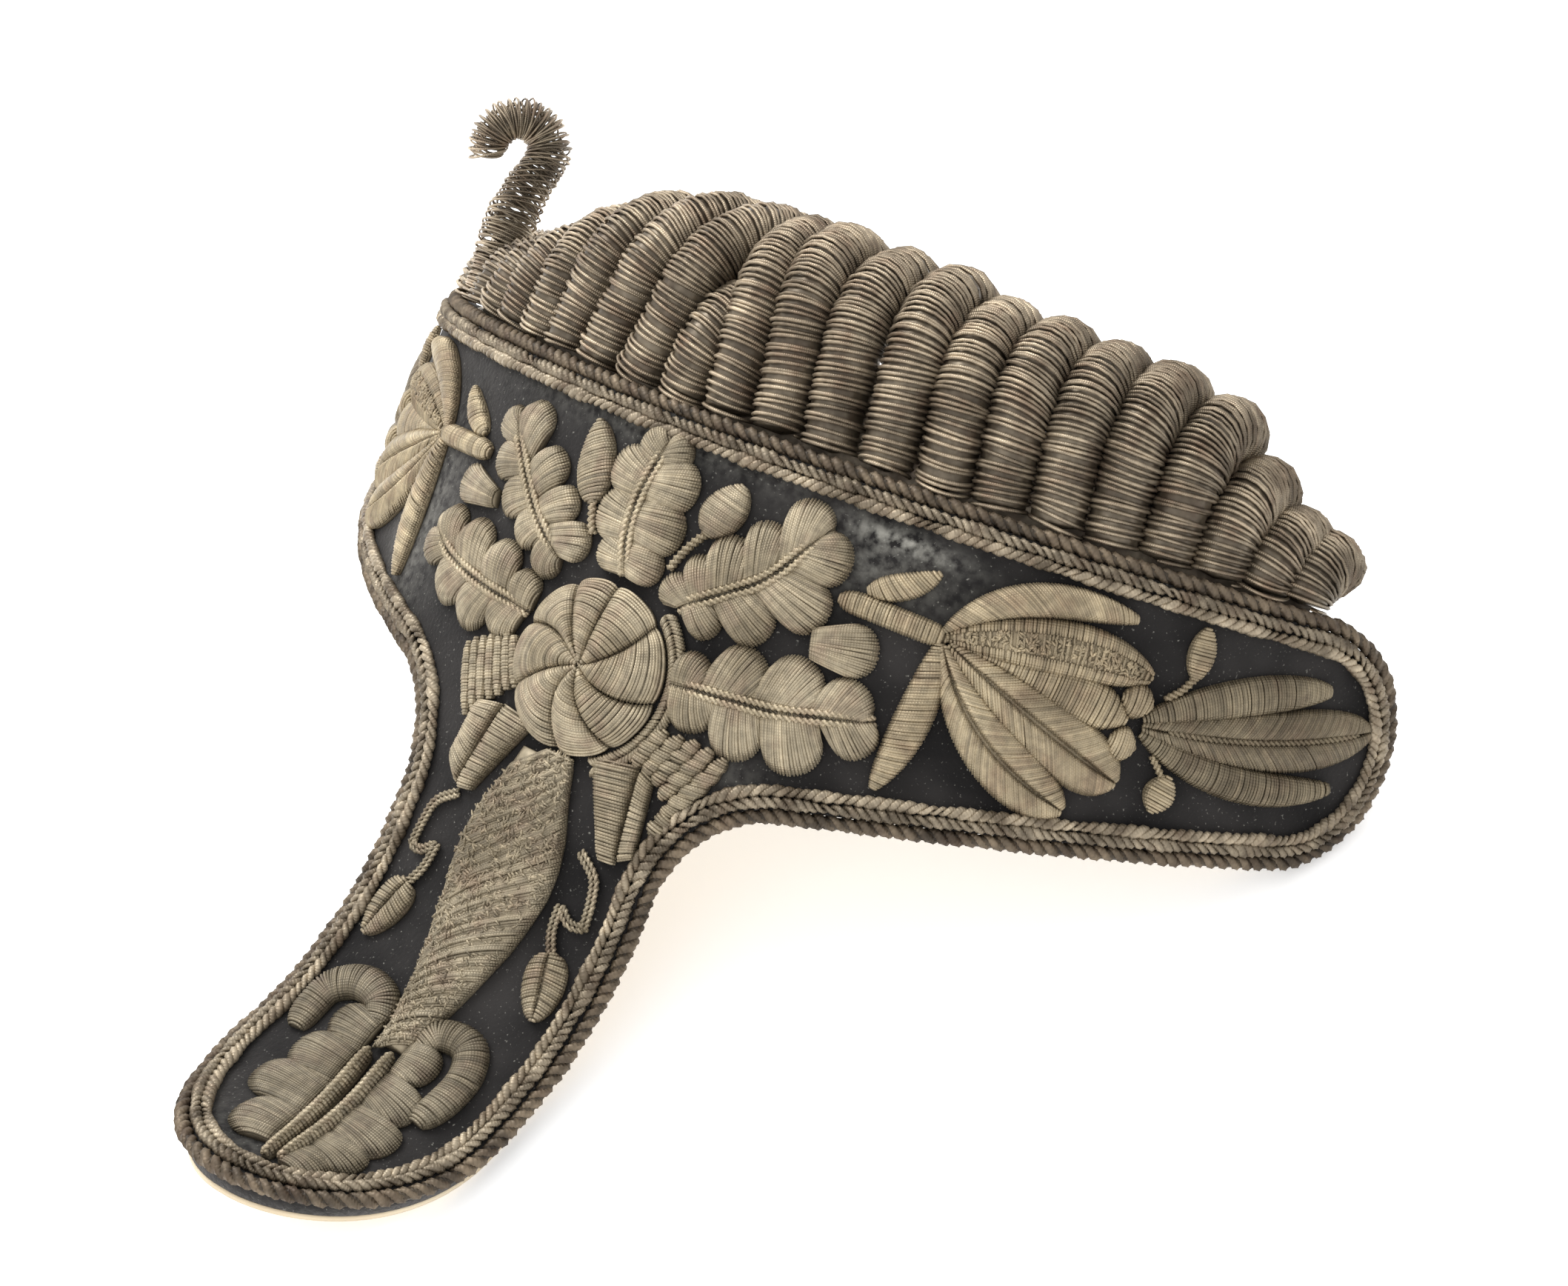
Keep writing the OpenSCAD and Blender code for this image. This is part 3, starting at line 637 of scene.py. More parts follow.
# For each leaf the points of its rib, and one row for each lobe: the stretch of the rib
# that it grows from, as shares of the rib's length, its tip and its half width
leaves = [
    ([(-13, 6), (-25, 7), (-35, 9), (-42, 12)], [
        (0.0, 0.18, (-16.2, 12.4), 3.2), (0.18, 0.44, (-24, 15.4), 4.0),
        (0.42, 0.74, (-33, 16.7), 4.4), (0.72, 1.0, (-41.3, 17), 3.6),
        (0.02, 0.24, (-20, 0), 3.7), (0.24, 0.5, (-28, -0.8), 4.1),
        (0.48, 0.78, (-37, 2), 4.4), (0.78, 1.0, (-45.5, 8), 3.3)]),
    ([(-11, 15.8), (-18, 20.5), (-22.5, 24.5), (-27, 29), (-31.5, 33.5)], [
        (0.02, 0.26, (-6.4, 20), 3.3), (0.25, 0.44, (-12, 25.9), 3.2),
        (0.43, 0.68, (-18.4, 31.8), 3.7), (0.68, 0.98, (-27.8, 38.6), 3.9),
        (0.0, 0.2, (-14.4, 11.6), 3.2), (0.2, 0.4, (-22.4, 15.8), 3.4),
        (0.4, 0.62, (-29.2, 20.5), 3.5), (0.62, 0.82, (-34.8, 26.8), 3.5),
        (0.82, 1.0, (-36.8, 34.2), 3.1)]),
    ([(2.6, 17.3), (0.5, 24), (0, 30), (0.7, 35), (1.5, 39.5)], [
        (0.0, 0.26, (8.6, 19.9), 3.0), (0.24, 0.58, (9.9, 26.5), 4.2),
        (0.56, 0.84, (9.4, 34.3), 4.3), (0.82, 1.0, (5.6, 40.2), 2.9),
        (0.0, 0.22, (-4.8, 20.2), 2.9), (0.2, 0.55, (-7.9, 26.2), 4.3),
        (0.53, 0.82, (-8.1, 34.3), 4.2), (0.8, 1.0, (-3.9, 40.2), 3.0)]),
    ([(13.5, 16), (20, 20.5), (26.5, 26), (32, 35.5)], [
        (0.0, 0.13, (9.2, 19.4), 2.9), (0.07, 0.22, (13.2, 25), 2.4),
        (0.16, 0.42, (17.6, 30), 3.6), (0.4, 0.62, (22.6, 34.2), 3.4),
        (0.6, 0.97, (28.8, 40), 4.0), (0.02, 0.2, (20.8, 13.6), 2.8),
        (0.2, 0.46, (29.2, 16.3), 3.9), (0.45, 0.7, (37.2, 22.6), 4.4),
        (0.68, 0.98, (37.8, 32.4), 4.4)]),
    ([(17, 4.5), (25, 5.5), (35, 6.8), (43, 9), (50, 11)], [
        (0.0, 0.15, (20, 10.8), 3.0), (0.14, 0.4, (28.6, 14.6), 4.3),
        (0.38, 0.68, (37.6, 16.2), 4.7), (0.66, 0.95, (46.4, 15.8), 4.3),
        (0.0, 0.24, (23.6, -1.5), 3.9), (0.23, 0.47, (31.6, -3), 4.2),
        (0.46, 0.74, (41.4, -1.4), 4.7), (0.73, 1.0, (50.5, 5.4), 3.7)])]
leaf_h = relief_h + 0.3
rib_share = 0.72
# One row for each cord of a rib: its offset, how far it is raised, radius, orbit, pitch, tone
rib_cords = [
    (0.75, 0.25, 0.4, 0.27, 2.0, 1.55),
    (-0.75, 0.25, 0.4, 0.27, 2.0, 1.55),
    # The middle cord, lowered and of tone 0.35, is painted shade: a dark cord in the groove between
    # the two bright ones
    (0.0, -0.1, 0.3, 0.22, 1.5, 0.35)]
for k, (rib, fingers) in enumerate(leaves, 1):
    line = spaced(smooth_line(rib, 80), 101)
    parts = []
    for first, last, tip, w in fingers:
        parts += finger(line[int(100 * first)], line[int(100 * last)], tip, w, leaf_h)
    high = foot + leaf_h * rib_share
    parts += [couched(rib, offset, high + raised, *cord, leaf_h / 2)
              for offset, raised, *cord in rib_cords]
    stitched(f"satin_oak_leaf_{k}", parts, gilt, f"oak_leaf_{k}")

# Acorns
# Small ovals of thread over padding between the leaves. The two outer ones spread like
# a fan, and the two inner ones stand on a thin corded stem.
acorn_w = 3.8
outer_acorns = {
    1: ((-30.5, 19), (-31, 22), (-43, 21.5), 3.4),
    4: ((36.8, 16.5), (35.6, 21), (46.8, 21), 4.2)}
inner_acorns = {
    2: ((-9, 26), (-11.5, 32), (-14.2, 39)),
    3: ((13.4, 28.2), (14.6, 33), (16.6, 37.6))}
inner_stems = {
    2: [(-6.8, 21.5), (-8, 24), (-9.3, 27)],
    3: [(9.4, 21), (11.2, 25.2), (13.7, 29)]}
for k in range(1, 5):
    if k in outer_acorns:
        parts = finger(*outer_acorns[k])
    else:
        parts = satin(inner_acorns[k], acorn_w, relief_h, 13, blunt=0.85, lean=0.06)
        parts.append(couched(inner_stems[k], 0.0, 1.0, 0.5, 0.38, 2.0, 1.3))
    stitched(f"satin_acorn_{k}", parts, gilt, f"acorn_{k}")

# Rosette
# A dome of eight puffed segments, of thread laid across them over a padded card. The
# grooves between them run from the eye to the edge and turn on the way like a pinwheel.
rosette_u = 2.1
rosette_v = 1.5
rosette_r = 14.4
rosette_h = 4.8
rim_h = 1.1
# One row for each groove: its angle at the edge and its turn since half way out
grooves = [
    (49, 11), (90, 0), (122, -4), (168, 18), (211, 5), (274, 22), (313, 20), (356, 18), (409, 11)]


def purl(field, count, q_reach, t0, t1, size, radius=0.3, tone=1.0):
    """Chips of purl scattered over a form: short bowed threads that lie all ways."""
    t = rng.uniform(t0, t1, (count, 1))
    q = rng.uniform(-q_reach, q_reach, (count, 1))
    u, v, h = field(t, q)
    turn = rng.uniform(0, np.pi, (count, 1))
    s = np.array([[-1.0, 0.0, 1.0]])
    u = u + size * s * np.cos(turn)
    v = v + size * s * np.sin(turn)
    h = h + 0.12 + 0.3 * size * (1 - s * s)
    tones = tone * np.clip(rng.normal(1, 0.15, count), 0.6, 1.5)
    return tubes(on_board(u, v, h), outward(u, v), radius, 4, tones)


def segment_field(first, second, lean):
    """One segment between two grooves: t runs from the eye to the edge, r being its share of
    the radius, and q across. Each groove's angle is that at the edge less twice its turn
    times 1 - r. The height is the rim's and the rest of the dome's times (1 - r^2.4)^0.6,
    less a dip round the eye, and each segment is puffed between its grooves."""
    def field(t, q):
        r = np.clip(0.04 + 0.96 * t + lean * q * t * (1 - t), 0.02, 1)
        a, b = (angle - 2 * turn * (1 - r) for angle, turn in (first, second))
        across_it = np.radians(a + (b - a) * (q + 1) / 2)
        puff = 0.52 + 0.48 * half_round(q, 0.5)
        dome = half_round(r, 0.6, 2.4) * (1 - 0.3 * np.exp(-(r / 0.2) ** 2))
        h = rim_h + (rosette_h - rim_h) * dome
        reach = rosette_r * r * (1 - 0.05 * r * q ** 4)
        u = rosette_u + reach * np.cos(across_it)
        return u, rosette_v + reach * np.sin(across_it), h * puff
    return field


parts = []
for k, (first, second) in enumerate(zip(grooves, grooves[1:])):
    field = segment_field(first, second, 0.25 if k % 2 else -0.2)
    parts += [padding(field, 16, 11), threads(field, rosette_r, -0.98, 0.98, 13, tone=1.1)]
# Two rows of edge stitches on the side toward the strap and the right wing. They slant
# opposite ways, by degrees
many = 56
edge_angles = np.linspace(-62, 50, many)[:, None]
s = np.linspace(0, 1, 4)[None]
for row, slant in enumerate((4, -4)):
    r = rosette_r + 0.1 + 1.5 * (row + s)
    a = np.radians(edge_angles + slant * (s - 0.5) + rng.normal(0, 0.3, (many, 1)))
    u, v = rosette_u + r * np.cos(a), rosette_v + r * np.sin(a)
    h = 0.8 + 0.5 * np.sin(np.pi * s) + 0 * u
    tones = np.clip(rng.normal(0.95, 0.08, many), 0.7, 1.3)
    parts.append(tubes(on_board(u, v, h), outward(u, v), 0.34, 5, tones))
eye_axis = [(rosette_u + x, rosette_v) for x in (-1.2, 0, 1.2)]
eye = stitch_form(eye_axis, 1.2, 0.4, base=rosette_h - 2.0)
parts.append(purl(eye, 10, 0.8, 0.1, 0.9, 0.5))
stitched("puffed_rosette", parts, gilt, "rosette")

# Ray bars
# Narrow padded bars beside the rosette's lower edge. On the left they are smooth and lie
# close together, and on the right each is a row of crimped lumps.
smooth_bars = [
    ((-14.2, 1.4), (-10, -6.2)),
    ((-15.8, 1.2), (-11.4, -7.2)),
    ((-17.4, 0.6), (-12.8, -8.6)),
    ((-19, 0), (-14.2, -9.8)),
    ((-20.6, -0.8), (-15.6, -11.2)),
    ((-22.2, -1.6), (-16.8, -12.6)),
    ((-23.6, -2.8), (-18, -13.8))]
crimped_bars = [
    ((16.6, -9.6), (19.4, -2.6)),
    ((18.8, -10.2), (22.2, -2.4)),
    ((20.8, -11.2), (25, -2.2)),
    ((22.6, -12.8), (27.6, -2.4)),
    ((24, -15.4), (30.2, -3)),
    ((23.4, -18.6), (25.2, -14.6))]
parts = []
for start, end in smooth_bars:
    middle = np.add(start, end) / 2
    length = np.linalg.norm(np.subtract(end, start))
    parts += satin((start, middle, end), 0.95, 1.5, length, blunt=0.9, full=0.25)
for start, end in crimped_bars:
    middle = np.add(start, end) / 2 + rng.normal(0, 0.3, 2)
    length = np.linalg.norm(np.subtract(end, start))
    lumps = int(round(length / 2.6))
    parts += satin((start, middle, end), 1.7, 1.9, length, blunt=1.0, full=0.3, lobes=lumps,
                   lean=0.08)
stitched("padded_ray_bars", parts, gilt, "ray_bars")

# Lobe leaves
# Two broad leaves at the top of the quiver, each of two panels of fine thread that
# rises toward the wing's end.
lobe_leaves = {
    "left": [(((-3.2, -10), (-10.8, -24.5)), ((-11, -9.2), (-14, -25))),
             (((-11.2, -9.2), (-14.2, -24.8)), ((-16.6, -10.5), (-17.8, -20.5)))],
    "right": [(((8.8, -11), (16.4, -25.6)), ((17.6, -9.4), (19.6, -25.4))),
              (((17.8, -9.4), (19.8, -25)), ((20.6, -10.6), (22.4, -23.4)))]}
for name, panels in lobe_leaves.items():
    parts = []
    for rail_a, rail_b in panels:
        field = panel_form(rail_a, rail_b, relief_h)
        parts += [padding(field, 14, 9, 0.02, 0.98), threads(field, 15, 0.01, 0.99, 7, 0.46, 0.28)]
    stitched(f"satin_lobe_leaf_{name}", parts, gilt, f"lobe_leaf_{name}")

# Quiver
# A tapering baluster down the strap. Slanted thread is laid right across its padding in
# low diagonal ridges, with a scatter of purl that is thicker on its upper half.
quiver_u = 1.1
quiver_base = 0.5
# One row for each section: its place down the strap, half width and height
quiver_v, quiver_w, quiver_h = np.array([
    (-13, 5, 1.8), (-18, 6.4, 2.2), (-21, 7.4, 2.6), (-25, 9, 3.2), (-30, 10, 3.6),
    (-35, 10, 3.6), (-40, 9.1, 3.5), (-45, 8.1, 3.3), (-50, 6.7, 3), (-55, 5.5, 2.7),
    (-60, 4.4, 2.4), (-64, 3.4, 2.1), (-69, 2.6, 1.8)]).T
quiver_top, quiver_low = quiver_v[0], quiver_v[-1]


def quiver_field(lean):
    """Down the strap with t, across it with q, and up it by the lean: width and height follow
    the rows of the table. The height is half round, plus the ripple along the leaning
    threads, which is sin(2.6 v) of the place v where each crosses the middle."""
    def field(t, q):
        middle_v = quiver_top + (quiver_low - quiver_top) * np.clip(t, 0, 1)
        shift = lean * q * np.interp(-middle_v, -quiver_v, quiver_w)
        v = np.clip(middle_v + shift, quiver_low, quiver_top)
        half = np.interp(-v, -quiver_v, quiver_w)
        crown = half_round(q, 0.55)
        ripple = 0.24 * lean * np.sin(2.6 * middle_v) * crown
        h = quiver_base + np.interp(-v, -quiver_v, quiver_h) * crown + ripple
        return quiver_u + half * q, v, h
    return field


field = quiver_field(0.9)
# The tones under 1 are painted shade, for the light that falls off toward the strap's end: the
# threads are darkened, and the purl more on the lower half than on the upper
parts = [padding(quiver_field(0), 44, 15),
         threads(field, quiver_top - quiver_low, -0.99, 0.99, 17, 0.42, 0.3, 0.01, 0.985, 0.84),
         purl(field, 800, 0.92, 0.02, 0.55, 0.75, 0.27, 0.98),
         purl(field, 360, 0.92, 0.55, 0.98, 0.7, 0.25, 0.88)]
stitched("laid_thread_quiver", parts, gilt, "quiver")

# Sprigs
# Zigzag stems of two cords couched side by side, one at each side of the quiver. Each ends
# in a small heart-shaped leaf, with thread laid from its middle to both edges.
both_sides = (("left", -1), ("right", 1))
sprig_stems = [
    [(13.2, -25.6), (17, -28.4), (18.2, -32), (18.8, -37)],
    [(18.8, -36.6), (16.2, -36.8), (13.8, -35)],
    [(13.4, -34.6), (14, -39.2), (16.3, -43.6)]]
sprig_leaf = ((15.4, -42.4), (17, -47), (18.6, -53.4))
# Each cord's place beside the stem's line, and its tone
sprig_cords = ((0.42, 1.05), (-0.42, 0.85))


def mirrored(axis, sign):
    """A line of the right side, carried to a side: its u times the side's sign."""
    return tuple((sign * p[0], p[1]) for p in axis)


for name, sign in both_sides:
    parts = []
    for stem in sprig_stems:
        parts += [couched(mirrored(stem, sign), offset, 0.9, 0.34, 0.24, 1.9, tone, 0.3)
                  for offset, tone in sprig_cords]
    parts += satin(mirrored(sprig_leaf, sign), 3.7, 1.7, 11, spans=both_halves, blunt=0.62,
                   groove=0.4, slant=0.1, base=0.5)
    stitched(f"corded_sprig_{name}", parts, gilt, f"sprig_{name}")

# Palmette
# Two scrolls over a stack of lobes on each side at the strap's end, of thread laid
# across them, with two twisted cords down the middle.
scrolls = [
    ([(-4.6, -66), (-6.5, -61.6), (-12, -60.6), (-16.8, -63.6), (-17.6, -68), (-16.8, -73.4)], 3.2),
    ([(5, -66), (7, -62), (12.2, -61.8), (14.9, -66), (15.2, -71.5), (14.3, -78)], 2.9)]
# One row for each lobe: the stretch of the rib it grows from, its tip and its half width
palmette_lobes = [
    ((-3.2, -64.5), (-3, -71), (-12.6, -67.4), 3.6),
    ((-3, -70.5), (-2, -79), (-14.2, -75.4), 4.3),
    ((-2, -78.5), (-0.8, -86.5), (-15.4, -83), 4.3),
    ((-0.8, -86), (0.6, -94.5), (-10.4, -91.8), 4.9),
    ((4, -65), (4.4, -72), (11, -68.4), 3.9),
    ((4.4, -71.5), (5, -79.5), (13.8, -77.6), 4.2),
    ((5, -79), (5.6, -87), (15.8, -84.4), 4.1),
    ((5.6, -86.5), (6, -92.5), (15.2, -90.6), 3.5),
    ((5.8, -91.5), (5, -97.5), (12.4, -95), 2.9)]
middle_ribs = [
    ([(-1.6, -70), (-0.4, -78), (0.8, -86), (2, -93), (2.8, -98.4)], 1.45),
    ([(2.4, -69), (3.7, -78), (4.5, -86), (4.9, -92), (5.2, -97.4)], 1.45)]
# Painted shade: the palmette's thread and padding are darkened, for the light that falls off toward
# the strap's end
palmette_shade_tone = 0.6


def band_form(points, w, h, base):
    """A rounded band along a smooth line: t runs along it and q across, and its height is
    half round both across it and at its ends."""
    line = spaced(smooth_line(points, 80), 101)
    way = unit(np.gradient(line, axis=0))

    def field(t, q):
        at = np.clip(t, 0, 1) * 100
        c = [np.interp(at, np.arange(101), line[:, k]) for k in (0, 1)]
        d = [np.interp(at, np.arange(101), way[:, k]) for k in (0, 1)]
        half = w * half_round(2 * t - 1, 0.5, 7, 0.02)
        rise = h * half_round(q, 0.45) * half_round(2 * t - 1, 0.5, 8, 0.1)
        return c[0] + d[1] * half * q, c[1] - d[0] * half * q, base + rise
    return field


parts = []
for rib_a, rib_b, tip, w in palmette_lobes:
    parts += finger(rib_a, rib_b, tip, w, tone=palmette_shade_tone)
for points, w in scrolls:
    length = steps(smooth_line(points, 60)).sum()
    field = band_form(points, w, relief_h + 0.2, foot)
    parts += [padding(field, 34, 11, tone=palmette_shade_tone),
              threads(field, length, -0.99, 0.99, 9, tone=palmette_shade_tone)]
for points, w in middle_ribs:
    field = band_form(points, w, relief_h, foot + 0.2)
    parts += [padding(field, 24, 7, tone=0.6),
              threads(field, 30, -0.95, 0.95, 5, 0.8, 0.42, tone=1.5 * palmette_shade_tone)]
    parts.append(couched(points, 0.0, foot + relief_h + 0.25, 0.45, 0.32, 2.1, 1.15, 1.0))
stitched("satin_palmette", parts, gilt, "palmette")

# Stems and sepals
# A thick stem of slanted thread from the oak leaves to the flower, with a small side
# leaf, and the sepal that hangs under the flower's foot. Their thread has browned more.
brown_gilt = thread_metal("browned gilt thread", (0.26, 0.205, 0.13, 1), (0.42, 0.345, 0.225, 1),
                          (0.25, 0.18, 0.115, 1), 0.5, 0.45, 0.45)
stem_line = [(37.5, 27), (42, 27.2), (48, 27.2), (55.6, 27.2)]
side_leaf = ((41.2, 29.6), (46, 31.2), (51, 36.4))
sepal_axis = ((54.6, 26.6), (56.4, 12), (53.2, 1.2))
for name, sign in both_sides:
    field = band_form(mirrored(stem_line, sign), 1.9, 1.6, foot)
    parts = [padding(field, 14, 7), threads(field, 17, -0.98, 0.98, 7)]
    parts += satin(mirrored(side_leaf, sign), 2.2, 1.5, 12, blunt=0.95, lean=0.08 * sign)
    stitched(f"slanted_stem_{name}", parts, brown_gilt, f"stem_{name}")
    parts = satin(mirrored(sepal_axis, sign), 3.0, relief_h, 25, blunt=0.9, lean=0.05 * sign)
    stitched(f"satin_sepal_{name}", parts, brown_gilt, f"sepal_{name}")

# Flowers
# A large flower of five long petals on each side of the wing. The first is a crescent of
# plain satin, and the others have a groove, or a chequered middle, between two rows.
flower_h = relief_h + 0.4
crescent = ((54.4, 27.8), (63.5, 41.2), (82.4, 40.9))
chequered_petal = ((54.8, 27.3), (73, 34.6), (87.6, 33.2))
trumpet = ((57, 26.8), (72, 27.2), (86.4, 25.6))
grooved_petals = [
    (((55.4, 26.9), (75.4, 18.8), (88.2, 16)), 5.2, 1.15, 0.3),
    (((55, 26.6), (63.6, 12.2), (82, 9)), 4.7, 1.15, 0.4)]
calyx_knobs = [
    ((84, 29), (86.4, 29.3), (89, 29)),
    ((84.4, 22.2), (86.4, 22), (88.8, 22.2))]
for name, sign in both_sides:
    parts = satin(mirrored(crescent, sign), 2.8, flower_h, 34, blunt=1.15, lean=0.07 * sign)
    field = stitch_form(mirrored(chequered_petal, sign), 4.5, flower_h, blunt=1.15)
    parts += [padding(field), threads(field, 33, 0.4, 0.99, 5), threads(field, 33, -0.4, -0.99, 5),
              threads(field, 33, -0.42, 0.42, 5, 0.9, 0.3, tone=0.95),
              purl(field, 170, 0.36, 0.08, 0.92, 0.5, 0.26, 0.95)]
    parts += satin(mirrored(trumpet, sign), 3.9, flower_h - 0.5, 27, blunt=2.4, full=0.8)
    for axis, w, blunt, base in grooved_petals:
        parts += satin(mirrored(axis, sign), w, flower_h, 33, spans=both_halves, blunt=blunt,
                       groove=0.5, slant=0.15, base=base)
    for axis in calyx_knobs:
        parts += satin(mirrored(axis, sign), 2.9, 2.2, 5.2, blunt=1.0, full=0.6)
    stitched(f"satin_flower_{name}", parts, brown_gilt, f"flower_{name}")

# End flowers
# Three petals with blunt ends at each end of the wing, the middle one broad, with a dark
# cord in its groove.
end_petals = [
    (((88, 26.6), (103, 37), (117.5, 41.8)), 3.2, 1.15),
    (((88.4, 24.8), (106, 19.2), (124.4, 27.4)), 2.9, 1.2)]
# Painted shade: the end flowers' thread and padding are darkened, for the shade at the wing's ends
end_shade_tone = 0.54
middle_petal = ((88, 25.6), (108.4, 28.4), (127.8, 38.2))
for name, sign in both_sides:
    parts = []
    for axis, w, blunt in end_petals:
        parts += satin(mirrored(axis, sign), w, relief_h, 33, end_shade_tone, blunt=blunt, full=0.45)
    axis = mirrored(middle_petal, sign)
    parts += satin(axis, 5.1, relief_h + 0.2, 40, end_shade_tone, both_halves, blunt=1.2, full=0.5,
                   groove=0.5, slant=0.1)
    parts.append(couched(bent(axis, np.linspace(0.12, 0.93, 6))[0], 0.0, 1.7, 0.4, 0.3, 1.8, 0.7))
    stitched(f"satin_end_flower_{name}", parts, brown_gilt, f"end_flower_{name}")

# Buds
# A club-shaped upright bud and a round one between the flowers, of thread laid across their
# padding. Each has a short stem of one couched cord.
# One row for each bud: name, axis, half width, height, length, fullness, and its stem's
# line, radius and orbit
buds = [
    ("up", ((93.9, 35.4), (93.6, 39.5), (92.9, 43.8)), 2.3, 1.6, 8.5, 0.55,
     [(90.6, 31), (92.6, 33.2), (94, 36)], 0.45, 0.32),
    ("low", ((95.2, 13.8), (95.6, 16.8), (96, 20)), 2.7, 1.7, 6.2, 0.6,
     [(92, 22), (93.6, 20.6), (95.2, 19)], 0.4, 0.3)]
for name, sign in both_sides:
    for bud, axis, w, h, length, full, stem, radius, orbit in buds:
        parts = satin(mirrored(axis, sign), w, h, length, blunt=1.0, full=full)
        parts.append(couched(mirrored(stem, sign), 0.0, 0.9, radius, orbit, 1.8, 0.95, 0.3))
        stitched(f"satin_bud_{bud}_{name}", parts, brown_gilt, f"bud_{bud}_{name}")

# Bullion fringe
# Thick coils of tarnished gilt wire, sewn side by side to a tape under the wing's upper
# edge. They rise past the tape's edge, widen a little and curl over forward. A dark core
# inside each hollow coil is painted shade.
bullion_metal = thread_metal("bullion wire", (0.2, 0.156, 0.108, 1), (0.45, 0.37, 0.265, 1),
                             (0.21, 0.145, 0.098, 1), 0.42, 0.6, 0.35, 7)
coil_w = 4.5
coil_d = 5.8
coil_start = 2.9
foot_more = 1.4
coil_depth = 5.0
pressed_u = -50
foot_pitch = 1.2
tip_pitch = 0.68
wire_r = 0.34
wire_slope = 0.62
turn_points = 17
core_sides = 12
core_step = 20
# The cores' dark tone is painted shade inside the hollow coils
coil_core_shade_tone = 0.42
swell_left = 0.25
swell_right = 0.65
# One row for each coil: place along the edge, lean to the right in degrees, straight
# length, radius of the curl and the angle through which it turns. The right half leans a
# little less than the plain bars that the coils stand for, and its last three are smaller
coils = [
    (-109, 4, 1, 7, 120),
    (-100, 4, 1, 7, 120),
    (-91.5, 4, 1, 7, 120),
    (-72.5, 4, 2, 7, 120),
    (-64, 4, 3, 8, 120),
    (-54.5, 4, 5, 10, 115),
    (-45, 3, 8, 12, 115),
    (-35, 3, 11, 14, 115),
    (-25, 8, 14, 14, 115),
    (-14.5, 9, 15, 14, 115),
    (-4, 2, 5, 12, 100),
    (6, -8, 15, 14, 115),
    (16, -11, 16, 14, 115),
    (26, -10, 14.5, 14, 115),
    (35.8, -9, 14.5, 14, 115),
    (45.5, -9, 12, 14, 115),
    (55.2, -9, 11.5, 14, 115),
    (65, -9, 10.5, 14, 115),
    (74.5, -8, 10.5, 13.5, 115),
    (84, -6, 9, 12.5, 115),
    (93, -4, 3.5, 10.5, 118),
    (101.5, -1, 0.5, 8, 122),
    (109, 2, 0, 6.2, 122)]
rise_dir = tilted([0, 1, 0])


def across(u):
    """The way along the wing's edge, which turns with the bend."""
    return tilted([np.cos(u / bend_r), 0, -np.sin(u / bend_r)])


def wound_wire(centre, forward, side, half_w, half_d, turn_angle, radius, tone, slant=wire_slope):
    """Wire wound round a line: its angle is given at every point, and it runs at the half
    width and half depth from the line. Each turn slopes a little, by a share that drifts,
    and is a little wider or further along than its neighbours. Each turn also has its own
    tone drawn at random, brighter on some turns as painted glints, and painted shade makes
    the wire darker at the coil's sides."""
    over = np.cross(forward, side)
    turn = np.abs(turn_angle) / np.pi
    knots = np.arange(turn[-1] + 2)
    wide = np.interp(turn, knots, rng.normal(1, 0.034, len(knots)))[:, None]
    ahead = np.interp(turn, knots, rng.normal(0, 0.24, len(knots)))
    radial = (np.cos(turn_angle)[:, None] * side * half_w
              + np.sin(turn_angle)[:, None] * over * half_d) * wide
    slope = slant * (1 + np.sin(turn_angle * 0.023 + rng.uniform(0, 6))) * np.cos(
        turn_angle + 0.8 * np.sin(turn_angle * 0.037 + rng.uniform(0, 6)))
    path = centre + mm * (radial + (slope + ahead)[:, None] * forward)
    # Random tone for each turn, which also paints glints where it is bright
    own = np.interp(turn, knots, np.clip(rng.normal(1.1, 0.2, len(knots)), 0.6, 1.7))
    # Painted shade: darker where the wire passes the coil's sides
    tones = tone * own * (1 - 0.45 * np.abs(np.cos(turn_angle)) ** 3)
    return tubes(path[None], unit(radial)[None], radius, 4, tones)


def curled(start, go, over, s, straight, curl_r, bow=0.0):
    """A line that runs straight and then curls over on an arc: its points at the lengths s,
    moved over by the bow, and the way along it there."""
    a = np.maximum(s - straight, 0) / curl_r
    centre = start + mm * (go * (np.minimum(s, straight) + curl_r * np.sin(a))[:, None]
                           + over * (bow + curl_r * (1 - np.cos(a)))[:, None])
    return centre, go * np.cos(a)[:, None] + over * np.sin(a)[:, None]


def shade_core(centre, side, forward, half_w, half_d):
    """The closed dark core of a coil, painted shade inside the hollow coil: rings of the half
    width and half depth round its line, with both ends drawn in to a point."""
    a = 2 * np.pi * np.arange(core_sides) / core_sides
    over = np.cross(forward, side)
    shrink = np.ones(len(centre))
    shrink[[0, -1]] = 0.01
    ring = np.cos(a)[:, None] * side * half_w + np.sin(a)[:, None] * over[:, None] * half_d
    points = (centre[:, None] + mm * shrink[:, None, None] * ring).reshape(-1, 3)
    first = np.arange(core_sides)[None]
    last = (len(centre) - 1) * core_sides + first
    faces = [grid_quads(len(centre), core_sides, False, True), first[:, ::-1], last]
    return points, faces, (0.0, coil_core_shade_tone, 0.0)


